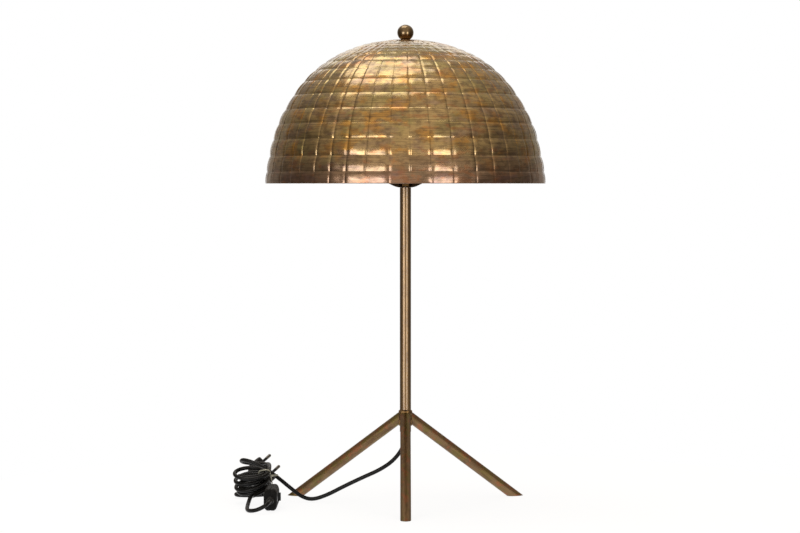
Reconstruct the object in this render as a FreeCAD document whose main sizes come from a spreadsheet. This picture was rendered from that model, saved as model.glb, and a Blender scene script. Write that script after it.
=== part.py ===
import FreeCAD, Part
import Sketcher
import math
import os
from FreeCAD import Placement, Rotation, Vector

# Table lamp with a dome shade on a stem with three legs.
# Origin on the stem axis at table height, +Z up, the front leg towards -Y. Millimetres.

SIZES = {
    # stem and legs
    "stem_diameter": 14.0,
    "stem_wall": 1.2,
    "stem_bottom": 92.0,
    "stem_top": 396.0,
    "leg_diameter": 13.0,
    "leg_wall": 1.2,
    "leg_reach": 163.0,
    "leg_meeting_height": 113.0,
    "braze_width": 1.6,
    # cord
    "cord_diameter": 5.0,
    "cord_clearance": 0.1,
    # bushing in the open lower end of the stem
    "bushing_flange": 1.6,
    "bushing_length": 12.0,
    "bushing_clearance": 0.05,
    # threaded parts on top of the stem
    "insert_length": 14.0,
    "nipple_diameter": 10.0,
    "nipple_bore": 6.0,
    "nipple_depth": 11.0,
    "nipple_rise": 11.0,
    "thread_clearance": 0.05,
    "nut_across_flats": 14.0,
    "nut_height": 3.0,
    # harp saddle
    "saddle_thickness": 1.6,
    "saddle_width": 14.0,
    "saddle_half_span": 26.0,
    "saddle_arm_rise": 19.0,
    "saddle_bend": 7.0,
    "saddle_tab_width": 4.0,
    "saddle_tab_rise": 8.0,
    # harp
    "harp_wire": 3.0,
    "harp_foot_rise": 9.0,
    "harp_half_width": 52.0,
    "harp_waist_rise": 35.0,
    "harp_shoulder_drop": 45.0,
    "harp_crown_half": 19.0,
    "harp_crown_gap": 3.0,
    "harp_bend": 16.0,
    "sleeve_diameter": 8.4,
    "sleeve_length": 11.0,
    "sleeve_clearance": 0.1,
    "sleeve_travel": 8.0,
    "sleeve_spare": 3.0,
    # stud, washers and finial
    "stud_diameter": 6.0,
    "stud_foot_diameter": 10.0,
    "stud_foot_depth": 4.0,
    "stud_engagement": 8.0,
    "washer_diameter": 24.0,
    "washer_thickness": 1.0,
    "seat_gap": 0.1,
    "finial_ball": 20.5,
    "finial_neck_diameter": 9.0,
    "finial_neck": 0.9,
    # lampholder
    "holder_radius": 19.5,
    "holder_neck_radius": 8.5,
    "holder_neck_height": 4.0,
    "cap_floor": 6.0,
    "cap_shoulder": 12.0,
    "cap_height": 22.0,
    "shell_height": 30.0,
    "holder_wall": 2.0,
    "shell_lip": 1.2,
    "core_height": 12.0,
    "core_clearance": 0.3,
    "thread_shell_wall": 0.4,
    "thread_shell_height": 24.0,
    "contact_width": 8.0,
    "contact_length": 16.0,
    "contact_thickness": 0.5,
    "contact_rise": 3.0,
    "terminal_screw_diameter": 4.0,
    "terminal_screw_head": 1.6,
    "terminal_offset": 10.0,
    # lamp bulb
    "bulb_cap_diameter": 26.4,
    "bulb_cap_length": 22.0,
    "bulb_cap_taper": 2.0,
    "bulb_clearance": 0.3,
    "bulb_length": 106.0,
    "bulb_ball_radius": 30.0,
    "bulb_neck_radius": 14.5,
    "bulb_neck_height": 12.0,
    "bulb_glass_wall": 0.8,
    "bulb_contact_radius": 4.5,
    "bulb_contact_height": 2.5,
    "bulb_stem_radius": 3.5,
    "bulb_stem_height": 46.0,
    "bulb_stem_flare": 1.2,
    "filament_diameter": 1.6,
    "filament_length": 32.0,
    "filament_gap": 0.2,
    "filament_count": 4,
    # shade
    "shade_radius": 175.0,
    "shade_height": 178.5,
    "shade_rim_rise": 5.0,
    "shade_wall": 1.0,
    "shade_bulge": 1.3,
    "shade_hole_clearance": 0.3,
    # in-line switch
    "switch_length": 64.0,
    "switch_width": 27.0,
    "switch_depth": 17.0,
    "switch_corner": 4.0,
    "switch_edge": 1.5,
    "switch_wall": 1.8,
    "rocker_length": 18.0,
    "rocker_width": 10.0,
    "rocker_depth": 6.0,
    "rocker_rise": 1.6,
    "rocker_clearance": 0.4,
    "rocker_pin": 1.5,
    "rocker_pin_clearance": 0.08,
    "switch_screw_diameter": 3.0,
    "switch_screw_head": 5.0,
    "switch_screw_offset": 23.0,
    "switch_relief_length": 9.0,
    "switch_relief_root": 4.4,
    # plug
    "plug_width": 35.3,
    "plug_depth": 13.7,
    "plug_tail_width": 15.0,
    "plug_tail_depth": 11.0,
    "plug_length": 31.0,
    "plug_edge": 1.6,
    "pin_diameter": 4.0,
    "pin_length": 19.0,
    "pin_pitch": 18.6,
    "pin_root": 6.0,
    "pin_tip": 1.2,
    "pin_sleeve_diameter": 3.8,
    "pin_core_diameter": 3.0,
    "pin_sleeve_length": 10.0,
    "relief_length": 20.0,
    "relief_root": 4.6,
    "relief_end": 3.2,
    # hank and its tie
    "hank_layers": 4,
    "hank_turns": 6.15,
    "hank_outer": 19.0,
    "hank_stretch": 3.7,
    "hank_pitch": 5.5,
    "hank_layer_gap": 5.6,
    "hank_fan": 4.5,
    "hank_tilt": 9.0,
    "hank_roll": 20.0,
    "tie_width": 5.0,
    "tie_thickness": 0.8,
    "tie_clearance": 1.1,
}

doc = FreeCAD.newDocument("TableLamp")
sheet = doc.addObject("Spreadsheet::Sheet", "Sizes")
for row, (alias, value) in enumerate(SIZES.items(), start=1):
    sheet.set("A%d" % row, alias)
    sheet.set("B%d" % row, str(value))
    sheet.setAlias("B%d" % row, alias)
doc.recompute()

TURN = 360
nodes = {}


def size(alias):
    """A driving size as a plain number."""
    return float(sheet.get(alias))


def cell(alias):
    """The same size as it is written in an expression."""
    return "Sizes." + alias


def keep(name, item):
    """Lists an object as one sub-part under the name of its file."""
    item.Label = name
    nodes[name] = item
    return item


def origin_plane(body, role):
    """One of a body's own origin planes."""
    return next(f for f in body.Origin.OriginFeatures if f.Role == role)


def bind(item, **expressions):
    """Binds an object's properties to cells of the sheet."""
    for name, expression in expressions.items():
        item.setExpression(name.replace("_at_", "."), expression)
    return item


def cylinder(name, radius, height, start):
    """An upright cylinder on the stem axis, its sizes and its start given as expressions."""
    item = doc.addObject("Part::Cylinder", name)
    bind(item, Radius=radius, Height=height, Placement_at_Base_at_z=start)
    return item


def cut(name, base, tool):
    """What is left of base when tool is taken away."""
    item = doc.addObject("Part::Cut", name)
    item.Base = base
    item.Tool = tool
    return item


def fuse(name, shapes):
    """Several shapes joined to one solid."""
    item = doc.addObject("Part::MultiFuse", name)
    item.Shapes = shapes
    return item


def common(name, base, tool):
    """The space that two shapes share."""
    item = doc.addObject("Part::Common", name)
    item.Base = base
    item.Tool = tool
    return item


def turned(name, outline):
    """A body turned about the stem axis from corners given as (radius, height) expressions."""
    body = doc.addObject("PartDesign::Body", name + "_body")
    sketch = body.newObject("Sketcher::SketchObject", name + "_outline")
    sketch.AttachmentSupport = (origin_plane(body, "XZ_Plane"), "")
    sketch.MapMode = "FlatFace"
    doc.recompute()
    corners = [Vector(evaluate(r), evaluate(z), 0) for r, z in outline]
    for index, corner in enumerate(corners):
        following = corners[(index + 1) % len(corners)]
        sketch.addGeometry(Part.LineSegment(corner, following), False)
    for index in range(len(corners)):
        following = (index + 1) % len(corners)
        sketch.addConstraint(Sketcher.Constraint("Coincident", index, 2, following, 1))
    for index, (radius, height) in enumerate(outline):
        if corners[index].x == 0:
            sketch.addConstraint(Sketcher.Constraint("PointOnObject", index, 1, -2))
        else:
            place = sketch.addConstraint(
                Sketcher.Constraint("DistanceX", -1, 1, index, 1, corners[index].x))
            sketch.setExpression("Constraints[%d]" % place, radius)
        place = sketch.addConstraint(
            Sketcher.Constraint("DistanceY", -1, 1, index, 1, corners[index].y))
        sketch.setExpression("Constraints[%d]" % place, height)
    turn = body.newObject("PartDesign::Revolution", name + "_turn")
    turn.Profile = sketch
    turn.ReferenceAxis = (sketch, ["V_Axis"])
    turn.Angle = TURN
    body.Tip = turn
    return keep(name, body)


def evaluate(expression):
    """The value of an expression of cells."""
    value = sheet.evalExpression(expression.replace("Sizes.", ""))
    return float(getattr(value, "Value", value))


# Stem, legs and brazing
STEM_R = "Sizes.stem_diameter / 2"
STEM_IN = "(Sizes.stem_diameter / 2 - Sizes.stem_wall)"
LEG_R = "Sizes.leg_diameter / 2"
LEG_NAMES = ["front_leg", "right_leg", "left_leg"]
ROD_REACH_SHARE = 1.25


def make_stem():
    """The brass tube, open at both ends."""
    turned("stem_tube", [
        (STEM_IN, cell("stem_bottom")), (STEM_R, cell("stem_bottom")),
        (STEM_R, cell("stem_top")), (STEM_IN, cell("stem_top")),
    ])


def leg_slope():
    """The angle between a leg and the table."""
    return math.degrees(math.atan2(size("leg_meeting_height"), size("leg_reach")))


def leg_rod(name, radius, azimuth):
    """A rod along one leg's axis, running past the stem's axis and below the table."""
    length = ROD_REACH_SHARE * math.hypot(size("leg_reach"), size("leg_meeting_height"))
    rod = doc.addObject("Part::Cylinder", name)
    bind(rod, Radius=radius)
    rod.Height = length
    tilt = Rotation(Vector(0, 1, 0), 90 + leg_slope())
    rod.Placement = Placement(
        Vector(0, 0, size("leg_meeting_height")), Rotation(Vector(0, 0, 1), azimuth) * tilt)
    return rod


def sector(name, azimuth):
    """The third of the space that belongs to one leg, above the table."""
    reach = 2 * size("leg_reach")
    half = math.pi / len(LEG_NAMES)
    middle = math.radians(azimuth)
    corners = [Vector(0, 0, 0)]
    for side in (-half, 0, half):
        corners.append(Vector(reach * math.cos(middle + side), reach * math.sin(middle + side), 0))
    corners.append(corners[0])
    prism = doc.addObject("Part::Feature", name)
    prism.Shape = Part.Face(Part.makePolygon(corners)).extrude(Vector(0, 0, size("stem_top")))
    return prism


def make_legs():
    """Three tubes, coped to the stem, cut level with the table and brazed on."""
    beads = []
    for index, name in enumerate(LEG_NAMES):
        azimuth = -90 + index * TURN / len(LEG_NAMES)
        tube = cut(name + "_tube", leg_rod(name + "_rod", LEG_R, azimuth),
                   leg_rod(name + "_bore", LEG_R + " - Sizes.leg_wall", azimuth))
        third = sector(name + "_third", azimuth)
        standing = common(name + "_standing", tube, third)
        cope = cylinder(name + "_cope", STEM_R, cell("stem_top"), "0 mm")
        keep(name, cut(name + "_cut", standing, cope))
        collar = cylinder(name + "_collar", STEM_R + " + Sizes.braze_width", cell("stem_top"), "0 mm")
        around = leg_rod(name + "_around", LEG_R + " + Sizes.braze_width", azimuth)
        joint = common(name + "_joint", collar, around)
        joint = common(name + "_joint_third", joint, third)
        joint = cut(name + "_joint_clear", joint, leg_rod(name + "_solid", LEG_R, azimuth))
        stem = cylinder(name + "_stem", STEM_R, cell("stem_top"), "0 mm")
        beads.append(cut(name + "_bead", joint, stem))
    keep("brazing", fuse("brazing_beads", beads))


def make_bushing():
    """The rubber bushing that the cord leaves the stem through."""
    bore = "Sizes.cord_diameter / 2 + Sizes.cord_clearance"
    spigot = STEM_IN + " - Sizes.bushing_clearance"
    low = "Sizes.stem_bottom - Sizes.bushing_flange"
    turned("cord_bushing", [
        (bore, low), (STEM_R, low), (STEM_R, cell("stem_bottom")),
        (spigot, cell("stem_bottom")), (spigot, "Sizes.stem_bottom + Sizes.bushing_length"),
        (bore, "Sizes.stem_bottom + Sizes.bushing_length"),
    ])


# Threaded fittings and the harp saddle on top of the stem
NIPPLE_R = "Sizes.nipple_diameter / 2"
SADDLE_TOP = "(Sizes.stem_top + Sizes.saddle_thickness)"
HOLDER_BASE = "(Sizes.stem_top + Sizes.saddle_thickness + Sizes.nut_height)"
RIM = "(Sizes.stem_top + Sizes.shade_rim_rise)"
SHADE_TOP = "(" + RIM + " + Sizes.shade_height)"
SEAT = "(" + SHADE_TOP + " - Sizes.shade_wall)"
WASHER_BASE = "(" + SEAT + " - Sizes.washer_thickness)"
HARP_TOP = "(" + WASHER_BASE + " - Sizes.harp_crown_gap - Sizes.harp_wire / 2)"


def make_fittings():
    """Insert, threaded nipple and lock nut."""
    hole = NIPPLE_R + " + Sizes.thread_clearance"
    turned("stem_insert", [
        (hole, "Sizes.stem_top - Sizes.insert_length"),
        (STEM_IN, "Sizes.stem_top - Sizes.insert_length"),
        (STEM_IN, cell("stem_top")), (hole, cell("stem_top")),
    ])
    turned("threaded_nipple", [
        ("Sizes.nipple_bore / 2", "Sizes.stem_top - Sizes.nipple_depth"),
        (NIPPLE_R, "Sizes.stem_top - Sizes.nipple_depth"),
        (NIPPLE_R, "Sizes.stem_top + Sizes.nipple_rise"),
        ("Sizes.nipple_bore / 2", "Sizes.stem_top + Sizes.nipple_rise"),
    ])
    hexagon = doc.addObject("Part::Prism", "nut_hexagon")
    hexagon.Polygon = 6
    bind(hexagon, Circumradius="Sizes.nut_across_flats / 2 / cos(30)", Height=cell("nut_height"),
         Placement_at_Base_at_z=SADDLE_TOP)
    keep("lock_nut", cut("nut_cut", hexagon, cylinder("nut_bore", hole, cell("nut_height"), SADDLE_TOP)))


def rounded_wire(points, radii):
    """A wire of straight runs with a tangent arc of the given radius at each inner point."""
    edges = []
    start = points[0]
    for index in range(1, len(points) - 1):
        before = (points[index - 1] - points[index]).normalize()
        after = (points[index + 1] - points[index]).normalize()
        turn = math.pi - before.getAngle(after)
        back = radii[index - 1] * math.tan(turn / 2)
        first = points[index] + before * back
        last = points[index] + after * back
        inward = (before + after).normalize()
        centre = points[index] + inward * (radii[index - 1] / math.cos(turn / 2))
        middle = centre - inward * radii[index - 1]
        edges.append(Part.LineSegment(start, first).toShape())
        edges.append(Part.Arc(first, middle, last).toShape())
        start = last
    edges.append(Part.LineSegment(start, points[-1]).toShape())
    return Part.Wire(edges)


def swept(wire, radius):
    """A round bar along a wire."""
    edge = wire.Edges[0]
    start = edge.valueAt(edge.FirstParameter)
    circle = Part.Wire(Part.Circle(start, edge.tangentAt(edge.FirstParameter), radius).toShape())
    return wire.makePipeShell([circle], True, False)


def feature(name, shape):
    """A sub-part whose shape is worked out from the sizes."""
    item = doc.addObject("Part::Feature", name + "_shape")
    item.Shape = shape
    return keep(name, item)


def make_saddle():
    """The bent strip that carries the harp, its arms narrowed to tabs."""
    half = size("saddle_half_span")
    thick = size("saddle_thickness")
    low = size("stem_top")
    top = low + size("saddle_arm_rise")
    path = rounded_wire([
        Vector(-half, 0, top), Vector(-half, 0, low + thick / 2),
        Vector(half, 0, low + thick / 2), Vector(half, 0, top),
    ], [size("saddle_bend"), size("saddle_bend")])
    width = size("saddle_width")
    section = Part.makePolygon([
        Vector(-half - thick / 2, -width / 2, top), Vector(-half + thick / 2, -width / 2, top),
        Vector(-half + thick / 2, width / 2, top), Vector(-half - thick / 2, width / 2, top),
        Vector(-half - thick / 2, -width / 2, top),
    ])
    strip = doc.addObject("Part::Feature", "saddle_strip")
    strip.Shape = path.makePipeShell([section], True, False)
    bored = cut("saddle_bored", strip,
                cylinder("saddle_hole", NIPPLE_R + " + Sizes.thread_clearance",
                         "3 * Sizes.saddle_thickness", "Sizes.stem_top - Sizes.saddle_thickness"))
    trims = []
    for side in (-1, 1):
        trim = doc.addObject("Part::Box", "saddle_trim_%d" % (side + 1))
        bind(trim, Length="2 * Sizes.saddle_half_span + 2 * Sizes.saddle_width",
             Width=cell("saddle_width"),
             Height="Sizes.saddle_arm_rise - Sizes.saddle_tab_rise + Sizes.saddle_thickness",
             Placement_at_Base_at_x="-Sizes.saddle_half_span - Sizes.saddle_width",
             Placement_at_Base_at_y="%d * (Sizes.saddle_tab_width + Sizes.saddle_width) / 2"
                                    " - Sizes.saddle_width / 2" % side,
             Placement_at_Base_at_z="Sizes.stem_top + Sizes.saddle_tab_rise")
        trims.append(trim)
    keep("harp_saddle", cut("saddle_cut", bored, fuse("saddle_trims", trims)))


def make_harp():
    """The bent wire that holds the shade, its locking sleeves, and the stud on its crown."""
    wire_x = size("saddle_half_span") + size("saddle_thickness") / 2 + size("harp_wire") / 2
    low, top = size("stem_top") + size("harp_foot_rise"), evaluate(HARP_TOP)
    foot_end = low + size("sleeve_length") + size("sleeve_travel") + size("sleeve_spare")
    wide, crown = size("harp_half_width"), size("harp_crown_half")
    left = [
        Vector(-wire_x, 0, low), Vector(-wire_x, 0, foot_end),
        Vector(-wide, 0, foot_end + size("harp_waist_rise")),
        Vector(-wide, 0, top - size("harp_shoulder_drop")), Vector(-crown, 0, top),
    ]
    points = left + [Vector(-p.x, 0, p.z) for p in reversed(left)]
    bends = [size("harp_bend")] * (len(points) - 2)
    loop = swept(rounded_wire(points, bends), size("harp_wire") / 2)
    feature("harp", loop)
    sleeve_x = wire_x - (size("harp_wire") - size("saddle_thickness")) / 2
    outer = size("sleeve_diameter") / 2
    tab_corner = math.hypot(
        sleeve_x - size("saddle_half_span") + size("saddle_thickness") / 2,
        size("saddle_tab_width") / 2)
    bore = tab_corner + size("sleeve_clearance")
    for name, side in (("harp_sleeve_left", -1), ("harp_sleeve_right", 1)):
        foot = Vector(side * sleeve_x, 0, low)
        tube = Part.makeCylinder(outer, size("sleeve_length"), foot)
        feature(name, tube.cut(Part.makeCylinder(bore, size("sleeve_length"), foot)))
    print("sleeve wall %.2f" % (outer - bore))


STUD_R = "Sizes.stud_diameter / 2"
BALL_BASE = "(" + SHADE_TOP + " + Sizes.finial_neck)"


def make_stud():
    """The threaded stud brazed round the harp's crown, and the washer under the shade."""
    foot = "Sizes.stud_foot_diameter / 2"
    solid = turned("harp_stud_blank", [
        ("0 mm", HARP_TOP + " - Sizes.stud_foot_depth"),
        (foot, HARP_TOP + " - Sizes.stud_foot_depth"),
        (foot, WASHER_BASE), (STUD_R, WASHER_BASE),
        (STUD_R, BALL_BASE + " + Sizes.stud_engagement"),
        ("0 mm", BALL_BASE + " + Sizes.stud_engagement"),
    ])
    nodes.pop("harp_stud_blank")
    keep("harp_stud", cut("harp_stud_cut", solid, nodes["harp"]))
    hole = STUD_R + " + Sizes.thread_clearance"
    turned("seat_washer", [
        (hole, WASHER_BASE), ("Sizes.washer_diameter / 2", WASHER_BASE),
        ("Sizes.washer_diameter / 2", SEAT), (hole, SEAT),
    ])


def make_finial():
    """The ball nut with its short neck and blind threaded bore."""
    ball = doc.addObject("Part::Sphere", "finial_ball")
    bind(ball, Radius="Sizes.finial_ball / 2",
         Placement_at_Base_at_z=BALL_BASE + " + Sizes.finial_ball / 2")
    neck = cylinder("finial_neck", "Sizes.finial_neck_diameter / 2", "Sizes.finial_ball / 2",
                    SHADE_TOP + " + Sizes.seat_gap")
    bore = cylinder("finial_bore", STUD_R + " + Sizes.thread_clearance",
                    "Sizes.stud_engagement + 2 * Sizes.finial_neck", SHADE_TOP)
    keep("finial", cut("finial_cut", fuse("finial_blank", [ball, neck]), bore))


# Lampholder
HOLDER_R = "Sizes.holder_radius"
HOLDER_IN = "(Sizes.holder_radius - Sizes.holder_wall)"
CAP_TOP = "(" + HOLDER_BASE + " + Sizes.cap_height)"
SHELL_TOP = "(" + CAP_TOP + " + Sizes.shell_height)"
CORE_BASE = "(" + HOLDER_BASE + " + Sizes.cap_shoulder)"
CORE_TOP = "(" + CORE_BASE + " + Sizes.core_height)"
THREAD_IN = "(Sizes.bulb_cap_diameter / 2 + Sizes.bulb_clearance)"
THREAD_OUT = "(Sizes.bulb_cap_diameter / 2 + Sizes.bulb_clearance + Sizes.thread_shell_wall)"
CORE_R = "(Sizes.holder_radius - Sizes.holder_wall - Sizes.core_clearance)"


def make_holder():
    """Cap, outer shell, ceramic core, threaded sleeve, centre contact and terminal screws."""
    hole = NIPPLE_R + " + Sizes.thread_clearance"
    floor = HOLDER_BASE + " + Sizes.cap_floor"
    turned("holder_cap", [
        (hole, HOLDER_BASE), (cell("holder_neck_radius"), HOLDER_BASE),
        (cell("holder_neck_radius"), HOLDER_BASE + " + Sizes.holder_neck_height"),
        (HOLDER_R, HOLDER_BASE + " + Sizes.cap_shoulder - Sizes.holder_wall"),
        (HOLDER_R, CAP_TOP), (HOLDER_IN, CAP_TOP), (HOLDER_IN, CORE_BASE),
        (cell("holder_neck_radius"), floor), (hole, floor),
    ])
    lip = THREAD_OUT + " + Sizes.core_clearance"
    turned("holder_shell", [
        (HOLDER_IN, CAP_TOP), (HOLDER_R, CAP_TOP), (HOLDER_R, SHELL_TOP), (lip, SHELL_TOP),
        (lip, SHELL_TOP + " - Sizes.shell_lip"), (HOLDER_IN, SHELL_TOP + " - Sizes.shell_lip"),
    ])
    core = cylinder("core_blank", CORE_R, cell("core_height"), CORE_BASE)
    screws = []
    holes = []
    for side in (-1, 1):
        place = "%d * Sizes.terminal_offset" % side
        shank = cylinder("terminal_shank_%d" % (side + 1), "Sizes.terminal_screw_diameter / 2",
                         "Sizes.core_height / 2", CORE_BASE)
        head = cylinder("terminal_head_%d" % (side + 1),
                        "Sizes.terminal_screw_diameter / 2 + Sizes.terminal_screw_head",
                        cell("terminal_screw_head"), CORE_BASE + " - Sizes.terminal_screw_head")
        hollow = cylinder("terminal_hole_%d" % (side + 1), "Sizes.terminal_screw_diameter / 2",
                          "Sizes.core_height / 2", CORE_BASE)
        for item in (shank, head, hollow):
            bind(item, Placement_at_Base_at_x=place)
        screws.append(fuse("terminal_screw_%d" % (side + 1), [shank, head]))
        holes.append(hollow)
    keep("holder_core", cut("core_cut", core, fuse("terminal_holes", holes)))
    screw_pair = doc.addObject("Part::Compound", "terminal_pair")
    screw_pair.Links = screws
    keep("terminal_screws", screw_pair)
    turned("thread_sleeve", [
        (THREAD_IN, CORE_TOP), (THREAD_OUT, CORE_TOP),
        (THREAD_OUT, CORE_TOP + " + Sizes.thread_shell_height"),
        (THREAD_IN, CORE_TOP + " + Sizes.thread_shell_height"),
    ])
    half = size("contact_length") / 2
    low, rise = evaluate(CORE_TOP), size("contact_rise")
    thick, width = size("contact_thickness"), size("contact_width")
    profile = Part.makePolygon([
        Vector(-half, -width / 2, low), Vector(0, -width / 2, low),
        Vector(half, -width / 2, low + rise - thick), Vector(half, -width / 2, low + rise),
        Vector(-thick, -width / 2, low + thick), Vector(-half, -width / 2, low + thick),
        Vector(-half, -width / 2, low),
    ])
    strip = Part.Face(profile).extrude(Vector(0, width, 0))
    strip.translate(Vector(-half / 2, 0, 0))
    feature("centre_contact", strip)


# Bulb
BULB_BASE = "(" + CORE_TOP + " + Sizes.contact_rise + Sizes.bulb_clearance)"
BULB_CAP_BASE = "(" + BULB_BASE + " + Sizes.bulb_contact_height)"
BULB_CAP_TOP = "(" + BULB_CAP_BASE + " + Sizes.bulb_cap_length)"
BULB_CAP_R = "Sizes.bulb_cap_diameter / 2"


def bulb_outline(inset):
    """Half of the glass outline, with its end on the axis: the neck, a tangent and the ball."""
    low = evaluate(BULB_CAP_TOP)
    ball = size("bulb_ball_radius") - inset
    centre = evaluate(BULB_BASE) + size("bulb_length") - size("bulb_ball_radius")
    foot = Vector(size("bulb_cap_diameter") / 2 - inset, 0, low)
    neck = Vector(size("bulb_neck_radius") - inset, 0, low + size("bulb_neck_height"))
    reach = math.hypot(neck.x, centre - neck.z)
    angle = math.atan2(neck.z - centre, neck.x) + math.acos(ball / reach)
    touch = Vector(ball * math.cos(angle), 0, centre + ball * math.sin(angle))
    middle = (angle + math.pi / 2) / 2
    side = Vector(ball * math.cos(middle), 0, centre + ball * math.sin(middle))
    top = Vector(0, 0, centre + ball)
    return [Part.LineSegment(foot, neck).toShape(), Part.LineSegment(neck, touch).toShape(),
            Part.Arc(touch, side, top).toShape()], foot, top


def make_bulb():
    """Glass, metal cap, tip contact, inner glass stem and the light sticks round it."""
    outer, outer_foot, outer_top = bulb_outline(0)
    inner, inner_foot, inner_top = bulb_outline(size("bulb_glass_wall"))
    rim = Part.LineSegment(inner_foot, outer_foot).toShape()
    crown = Part.LineSegment(outer_top, inner_top).toShape()
    ring = Part.Wire(Part.sortEdges([rim] + outer + [crown] + inner)[0])
    feature("bulb_glass", Part.Face(ring).revolve(Vector(0, 0, 0), Vector(0, 0, 1), TURN))
    inner_r = BULB_CAP_R + " - Sizes.bulb_glass_wall"
    turned("bulb_cap", [
        (cell("bulb_contact_radius"), BULB_CAP_BASE), (BULB_CAP_R, BULB_CAP_BASE + " + Sizes.bulb_cap_taper"),
        (BULB_CAP_R, BULB_CAP_TOP), (inner_r, BULB_CAP_TOP),
        (inner_r, BULB_CAP_BASE + " + Sizes.bulb_cap_taper"),
        (cell("bulb_contact_radius"), BULB_CAP_BASE + " + Sizes.bulb_glass_wall"),
    ])
    turned("bulb_tip", [
        ("0 mm", BULB_BASE), (cell("bulb_contact_radius"), BULB_BASE),
        (cell("bulb_contact_radius"), BULB_CAP_BASE + " + Sizes.bulb_cap_taper"),
        ("0 mm", BULB_CAP_BASE + " + Sizes.bulb_cap_taper"),
    ])
    flare = BULB_CAP_TOP + " + Sizes.bulb_stem_flare"
    turned("bulb_stem", [
        ("0 mm", BULB_CAP_TOP), (inner_r, BULB_CAP_TOP), (inner_r, flare),
        (cell("bulb_stem_radius"), flare + " + Sizes.bulb_stem_flare"),
        (cell("bulb_stem_radius"), BULB_CAP_TOP + " + Sizes.bulb_stem_height"),
        ("0 mm", BULB_CAP_TOP + " + Sizes.bulb_stem_height"),
    ])
    sticks = []
    ring_r = "(Sizes.bulb_stem_radius + Sizes.filament_diameter / 2 + Sizes.filament_gap)"
    for index in range(int(size("filament_count"))):
        azimuth = TURN * (index + 0.5) / size("filament_count")
        stick = cylinder("filament_%d" % index, "Sizes.filament_diameter / 2", cell("filament_length"),
                         BULB_CAP_TOP + " + Sizes.bulb_stem_height - Sizes.filament_length")
        bind(stick, Placement_at_Base_at_x="%s * cos(%f)" % (ring_r, azimuth),
             Placement_at_Base_at_y="%s * sin(%f)" % (ring_r, azimuth))
        sticks.append(stick)
    bundle = doc.addObject("Part::Compound", "filament_set")
    bundle.Links = sticks
    keep("filaments", bundle)


# Shade: the heights and radii of its creased rows, from the rim to the crown
ROW_HEIGHT_SHARES = [0, 0.081, 0.189, 0.304, 0.412, 0.513, 0.614, 0.708, 0.785, 0.841, 0.883, 0.915,
                     0.938, 0.958, 0.974, 0.987, 0.995]
ROW_RADIUS_SHARES = [1, 0.990, 0.968, 0.942, 0.906, 0.857, 0.795, 0.724, 0.646, 0.573, 0.506, 0.440,
                     0.384, 0.326, 0.264, 0.196, 0.122]


def row_points(inset):
    """The shade's creases and the crests between them, set in from the outside by a wall."""
    centre = Vector(0, 0, evaluate(RIM))
    creases = []
    for height, radius in zip(ROW_HEIGHT_SHARES, ROW_RADIUS_SHARES):
        creases.append(centre + Vector(radius * size("shade_radius"), 0, height * size("shade_height")))
    normals = []
    for index in range(len(creases)):
        before = creases[max(index - 1, 0)]
        after = creases[min(index + 1, len(creases) - 1)]
        along = (after - before).normalize()
        normals.append(Vector(along.z, 0, -along.x))
    row_span = (creases[3] - creases[2]).Length
    points = [creases[0] - Vector(normals[0].x * inset, 0, 0)]
    for index in range(1, len(creases)):
        chord = creases[index] - creases[index - 1]
        out = Vector(chord.z, 0, -chord.x).normalize()
        crest = (creases[index] + creases[index - 1]) * 0.5
        bulge = size("shade_bulge") * min(1, chord.Length / row_span)
        points.append(crest + out * (bulge - inset))
        points.append(creases[index] - normals[index] * inset)
    return points


def make_shade():
    """The embossed brass dome, one arc for each row of cells, with the hole for the stud."""
    outer = row_points(0)
    inner = row_points(size("shade_wall"))
    top = evaluate(SHADE_TOP)
    hole = evaluate(STUD_R) + size("shade_hole_clearance")
    edges = []
    for points in (outer, inner):
        for index in range(0, len(points) - 2, 2):
            edges.append(Part.Arc(points[index], points[index + 1], points[index + 2]).toShape())
    crown = [outer[-1], Vector(outer[-1].x - size("shade_wall"), 0, top), Vector(hole, 0, top),
             Vector(hole, 0, top - size("shade_wall")),
             Vector(inner[-1].x - size("shade_wall"), 0, top - size("shade_wall")), inner[-1]]
    for start, end in zip(crown, crown[1:]):
        edges.append(Part.LineSegment(start, end).toShape())
    edges.append(Part.LineSegment(inner[0], outer[0]).toShape())
    outline = Part.Wire(Part.sortEdges(edges)[0])
    feature("shade", Part.Face(outline).revolve(Vector(0, 0, 0), Vector(0, 0, 1), TURN))


# Cord: where its pieces lie, and the points of its free stretches, chosen by hand
HANK_TIE = Vector(-171.5, 3, 31)
SWITCH_CENTRE = Vector(-165.5, -48, 13.7)
PLUG_FACE = Vector(-180, 106, 32.5)
PLUG_ACROSS = Vector(0.64, 0, -0.77).normalize()
PLUG_AHEAD = Vector(0.5617, 0.683, 0.4669).normalize()
TO_HANK = [
    Vector(-4, -1, 70), Vector(-16, -2, 56), Vector(-33, -3, 45),
    Vector(-54, 0, 34.5), Vector(-77, 5, 22), Vector(-98, 10, 9.5), Vector(-117, 12, 2.9),
    Vector(-131, 15, 6.5), Vector(-145, 20, 17), Vector(-163, 30, 30.5), Vector(-178, 37, 39.5),
    Vector(-191, 42, 46), Vector(-200.5, 45, 49.5), Vector(-207.5, 50, 51), Vector(-210, 59.5, 51.5),
    Vector(-204.5, 69, 51.5), Vector(-195, 71.5, 51), Vector(-185.5, 68.5, 50.5), Vector(-178, 59.5, 50.5),
    Vector(-174, 46, 51), Vector(-171.8, 28, 48.5),
]
TO_SWITCH = [Vector(-192.5, -21.5, 12), Vector(-193.5, -40, 9), Vector(-194, -62, 6), Vector(-194, -84, 3),
             Vector(-190, -96.5, 2.7), Vector(-181, -104, 4.5), Vector(-171, -105.5, 9.5)]
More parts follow.
